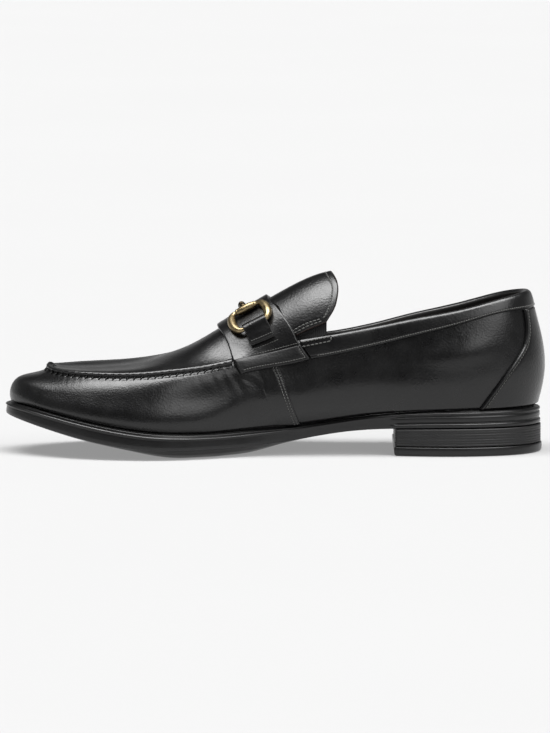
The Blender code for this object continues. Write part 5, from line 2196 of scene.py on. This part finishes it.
@dataclass
class Sock(Part):
    """Sock lining on the footbed, with a soft pad under the heel."""

    thickness: float = 0.0030
    upper_wall: float = 0.0020
    clearance: float = 0.0008
    pad_height: float = 0.0010

    def build(self) -> None:
        """Make the sock lining."""
        last = self.last
        turns = both_sides(np.linspace(0.0, math.pi, 120))
        inset = last.seat(turns) + self.upper_wall + self.clearance
        reach = last.outline_point(turns)[2]
        rows = [last.sole_row(turns, place, last.upper_bottom) for place in (reach, inset)]
        for t in (0.0, 0.02, 0.05, 0.10, 0.16, 0.24, 0.34, 0.46, 0.58, 0.70, 0.82, 0.92, 1.0):
            row = last.sole_row(turns, inset + (reach - inset) * t, last.upper_bottom)
            place = (last.heel_x - row[:, 0]) / last.sole_length
            pad = ease((0.255 - place) / 0.006) * ease((t - 0.10) / 0.07)
            edge = 1.0 - (1.0 - min(t / 0.02, 1.0)) ** 2
            row[:, 2] += self.thickness * (0.7 + 0.3 * edge) + pad * self.pad_height
            rows.append(row)
        mesh = rows_mesh("sock_lining", rows)
        new_piece("sock_lining", mesh, self.finishes.several(SOCK), "insole")


@dataclass
class Studio:
    """Pale floor, soft light from above, a pale far wall and a dark room on the camera's side."""

    floor_size: float = 40.0
    lens: float = 400.0
    sensor: float = 36.0
    frame_width: float = 0.3113
    elevation: float = 6.5
    target: tuple = (-0.0001, 0.0, 0.0475)
    key_strength: float = 13.4
    key_shift: float = 0.13
    near_strength: float = 3.2
    side_strength: float = 0.15
    wall_strength: float = 0.35
    room_strength: float = 0.04
    glow: float = 0.28

    def build(self) -> None:
        """Make the floor, the light and the camera."""
        scene = bpy.context.scene
        scene.view_settings.view_transform = "Standard"
        half = self.floor_size
        corners = ((-half, -half, 0.0), (half, -half, 0.0), (half, half, 0.0), (-half, half, 0.0))
        mesh = bpy.data.meshes.new("floor")
        mesh.from_pydata(corners, [], [(0, 1, 2, 3)])
        floor = bpy.data.objects.new("floor", mesh)
        scene.collection.objects.link(floor)
        mesh.materials.append(self.floor_material())
        LOG.info("floor: %d face", len(mesh.polygons))
        self.light(scene)
        distance = self.lens * self.frame_width / self.sensor
        camera_data = bpy.data.cameras.new("camera")
        camera_data.lens = self.lens
        camera_data.sensor_width = self.sensor
        camera_data.sensor_fit = "HORIZONTAL"
        camera_data.clip_end = 100.0
        camera = bpy.data.objects.new("camera", camera_data)
        scene.collection.objects.link(camera)
        tilt = math.radians(self.elevation)
        camera.location = (
            self.target[0],
            self.target[1] - distance * math.cos(tilt),
            self.target[2] + distance * math.sin(tilt),
        )
        camera.rotation_euler = (math.pi / 2.0 - tilt, 0.0, 0.0)
        scene.camera = camera

    def floor_material(self) -> bpy.types.Material:
        """Frosted white sweep, matt on top, with a little light of its own as if lit from below."""
        material = bpy.data.materials.new("translucent_white_sweep")
        material.use_nodes = True
        tree = material.node_tree
        shader = tree.nodes["Principled BSDF"]
        place = add_node(tree, "ShaderNodeTexCoord").outputs["Object"]
        noise = add_node(tree, "ShaderNodeTexNoise", {"Vector": place, "Scale": 3.0})
        shade = add_node(
            tree,
            "ShaderNodeMix",
            {"Factor": noise.outputs["Fac"], 6: linear("969696"), 7: linear("989898")},
            data_type="RGBA",
        )
        tree.links.new(shade.outputs[2], shader.inputs["Base Color"])
        shader.inputs["Roughness"].default_value = 0.9
        shader.inputs["Specular IOR Level"].default_value = 0.1
        shader.inputs["Emission Color"].default_value = (1.0, 1.0, 1.0, 1.0)
        shader.inputs["Emission Strength"].default_value = self.glow
        return material

    def light(self, scene: bpy.types.Scene) -> None:
        """Light the room by direction: overhead softbox, far wall, dark near side."""
        world = bpy.data.worlds.new("studio")
        scene.world = world
        world.use_nodes = True
        tree = world.node_tree
        background = tree.nodes["Background"]
        way = add_node(tree, "ShaderNodeTexCoord").outputs["Generated"]
        parts = add_node(tree, "ShaderNodeSeparateXYZ", {0: way})
        x, y, z = (parts.outputs[name] for name in "XYZ")
        side_way = self.combine(tree, "ABSOLUTE", x)
        slope_x = self.combine(tree, "DIVIDE", side_way, z)
        slope_y = self.combine(tree, "DIVIDE", y, z)
        shifted = self.combine(tree, "ADD", slope_y, self.key_shift)
        slope_y = self.combine(tree, "ABSOLUTE", shifted)
        # each lamp is a product of soft steps: value, where it starts, where it is full, strength
        lamps = (
            # the softbox overhead, longer along the shoe than across it
            (
                (z, 0.0, 0.1, 1.0),
                (slope_x, 0.75, 0.35, 1.0),
                (slope_y, 0.36, 0.14, self.key_strength),
            ),
            # a soft light above the camera, toward the heel
            (
                (y, -0.1, -0.6, 1.0),
                (x, 0.05, 0.30, 1.0),
                (x, 0.80, 0.55, 1.0),
                (z, 0.22, 0.60, self.near_strength),
            ),
            # low reflectors at both ends
            ((side_way, 0.45, 0.80, 1.0), (z, 0.80, 0.40, self.side_strength)),
            # the pale wall behind
            ((y, 0.0, 0.7, 1.0), (z, 0.55, 0.10, self.wall_strength)),
        )
        total = self.room_strength
        for lamp in lamps:
            steps = [self.step(tree, *step) for step in lamp]
            power = steps[0]
            for step in steps[1:]:
                power = self.combine(tree, "MULTIPLY", power, step)
            total = self.combine(tree, "ADD", power, total)
        tree.links.new(total, background.inputs["Strength"])
        background.inputs["Color"].default_value = (1.0, 1.0, 1.0, 1.0)

    @staticmethod
    def combine(
        tree: bpy.types.NodeTree,
        operation: str,
        first: bpy.types.NodeSocket,
        second: bpy.types.NodeSocket | float = 0.0,
    ) -> bpy.types.NodeSocket:
        """Output of a calculation on one or two values."""
        made = add_node(tree, "ShaderNodeMath", {0: first, 1: second}, operation=operation)
        return made.outputs[0]

    @staticmethod
    def step(
        tree: bpy.types.NodeTree, value: bpy.types.NodeSocket, low: float, high: float, top: float
    ) -> bpy.types.NodeSocket:
        """Output that goes smoothly from 0 to a top value between two values."""
        made = add_node(
            tree,
            "ShaderNodeMapRange",
            {"Value": value, "From Min": low, "From Max": high, "To Min": 0.0, "To Max": top},
            interpolation_type="SMOOTHSTEP",
        )
        return made.outputs["Result"]


def main() -> None:
    """Build the shoe piece by piece."""
    logging.basicConfig(level=logging.INFO)
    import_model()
    last = Last()
    finishes = Finishes()
    Studio().build()
    fine = Thread("fine_stitches")
    coarse = Thread("coarse_stitches")
    seam = MocSeam(last, finishes)
    Upper(last, finishes, seam).build()
    seam.build()
    Counter(last, finishes).build(fine)
    Collar(last, finishes).build(fine, coarse)
    Tongue(last, finishes).build(fine)
    Strap(last, finishes).build(fine)
    places = (BitPlace(last, -1), BitPlace(last, 1))
    for place in places:
        SideSeam(last, finishes, place.side).build(fine)
        Gore(last, finishes, place.side).build()
        Tab(last, finishes, place).build(fine)
    Bit(last, finishes, places).build()
    for thread in (fine, coarse):
        thread.finish(finishes.get(THREAD), finishes.get(HOLE_PAINTED_SHADE), "upper_leather")
    Sole(last, finishes).build()
    Heel(last, finishes).build()
    Sock(last, finishes).build()


if __name__ == "__main__":
    main()
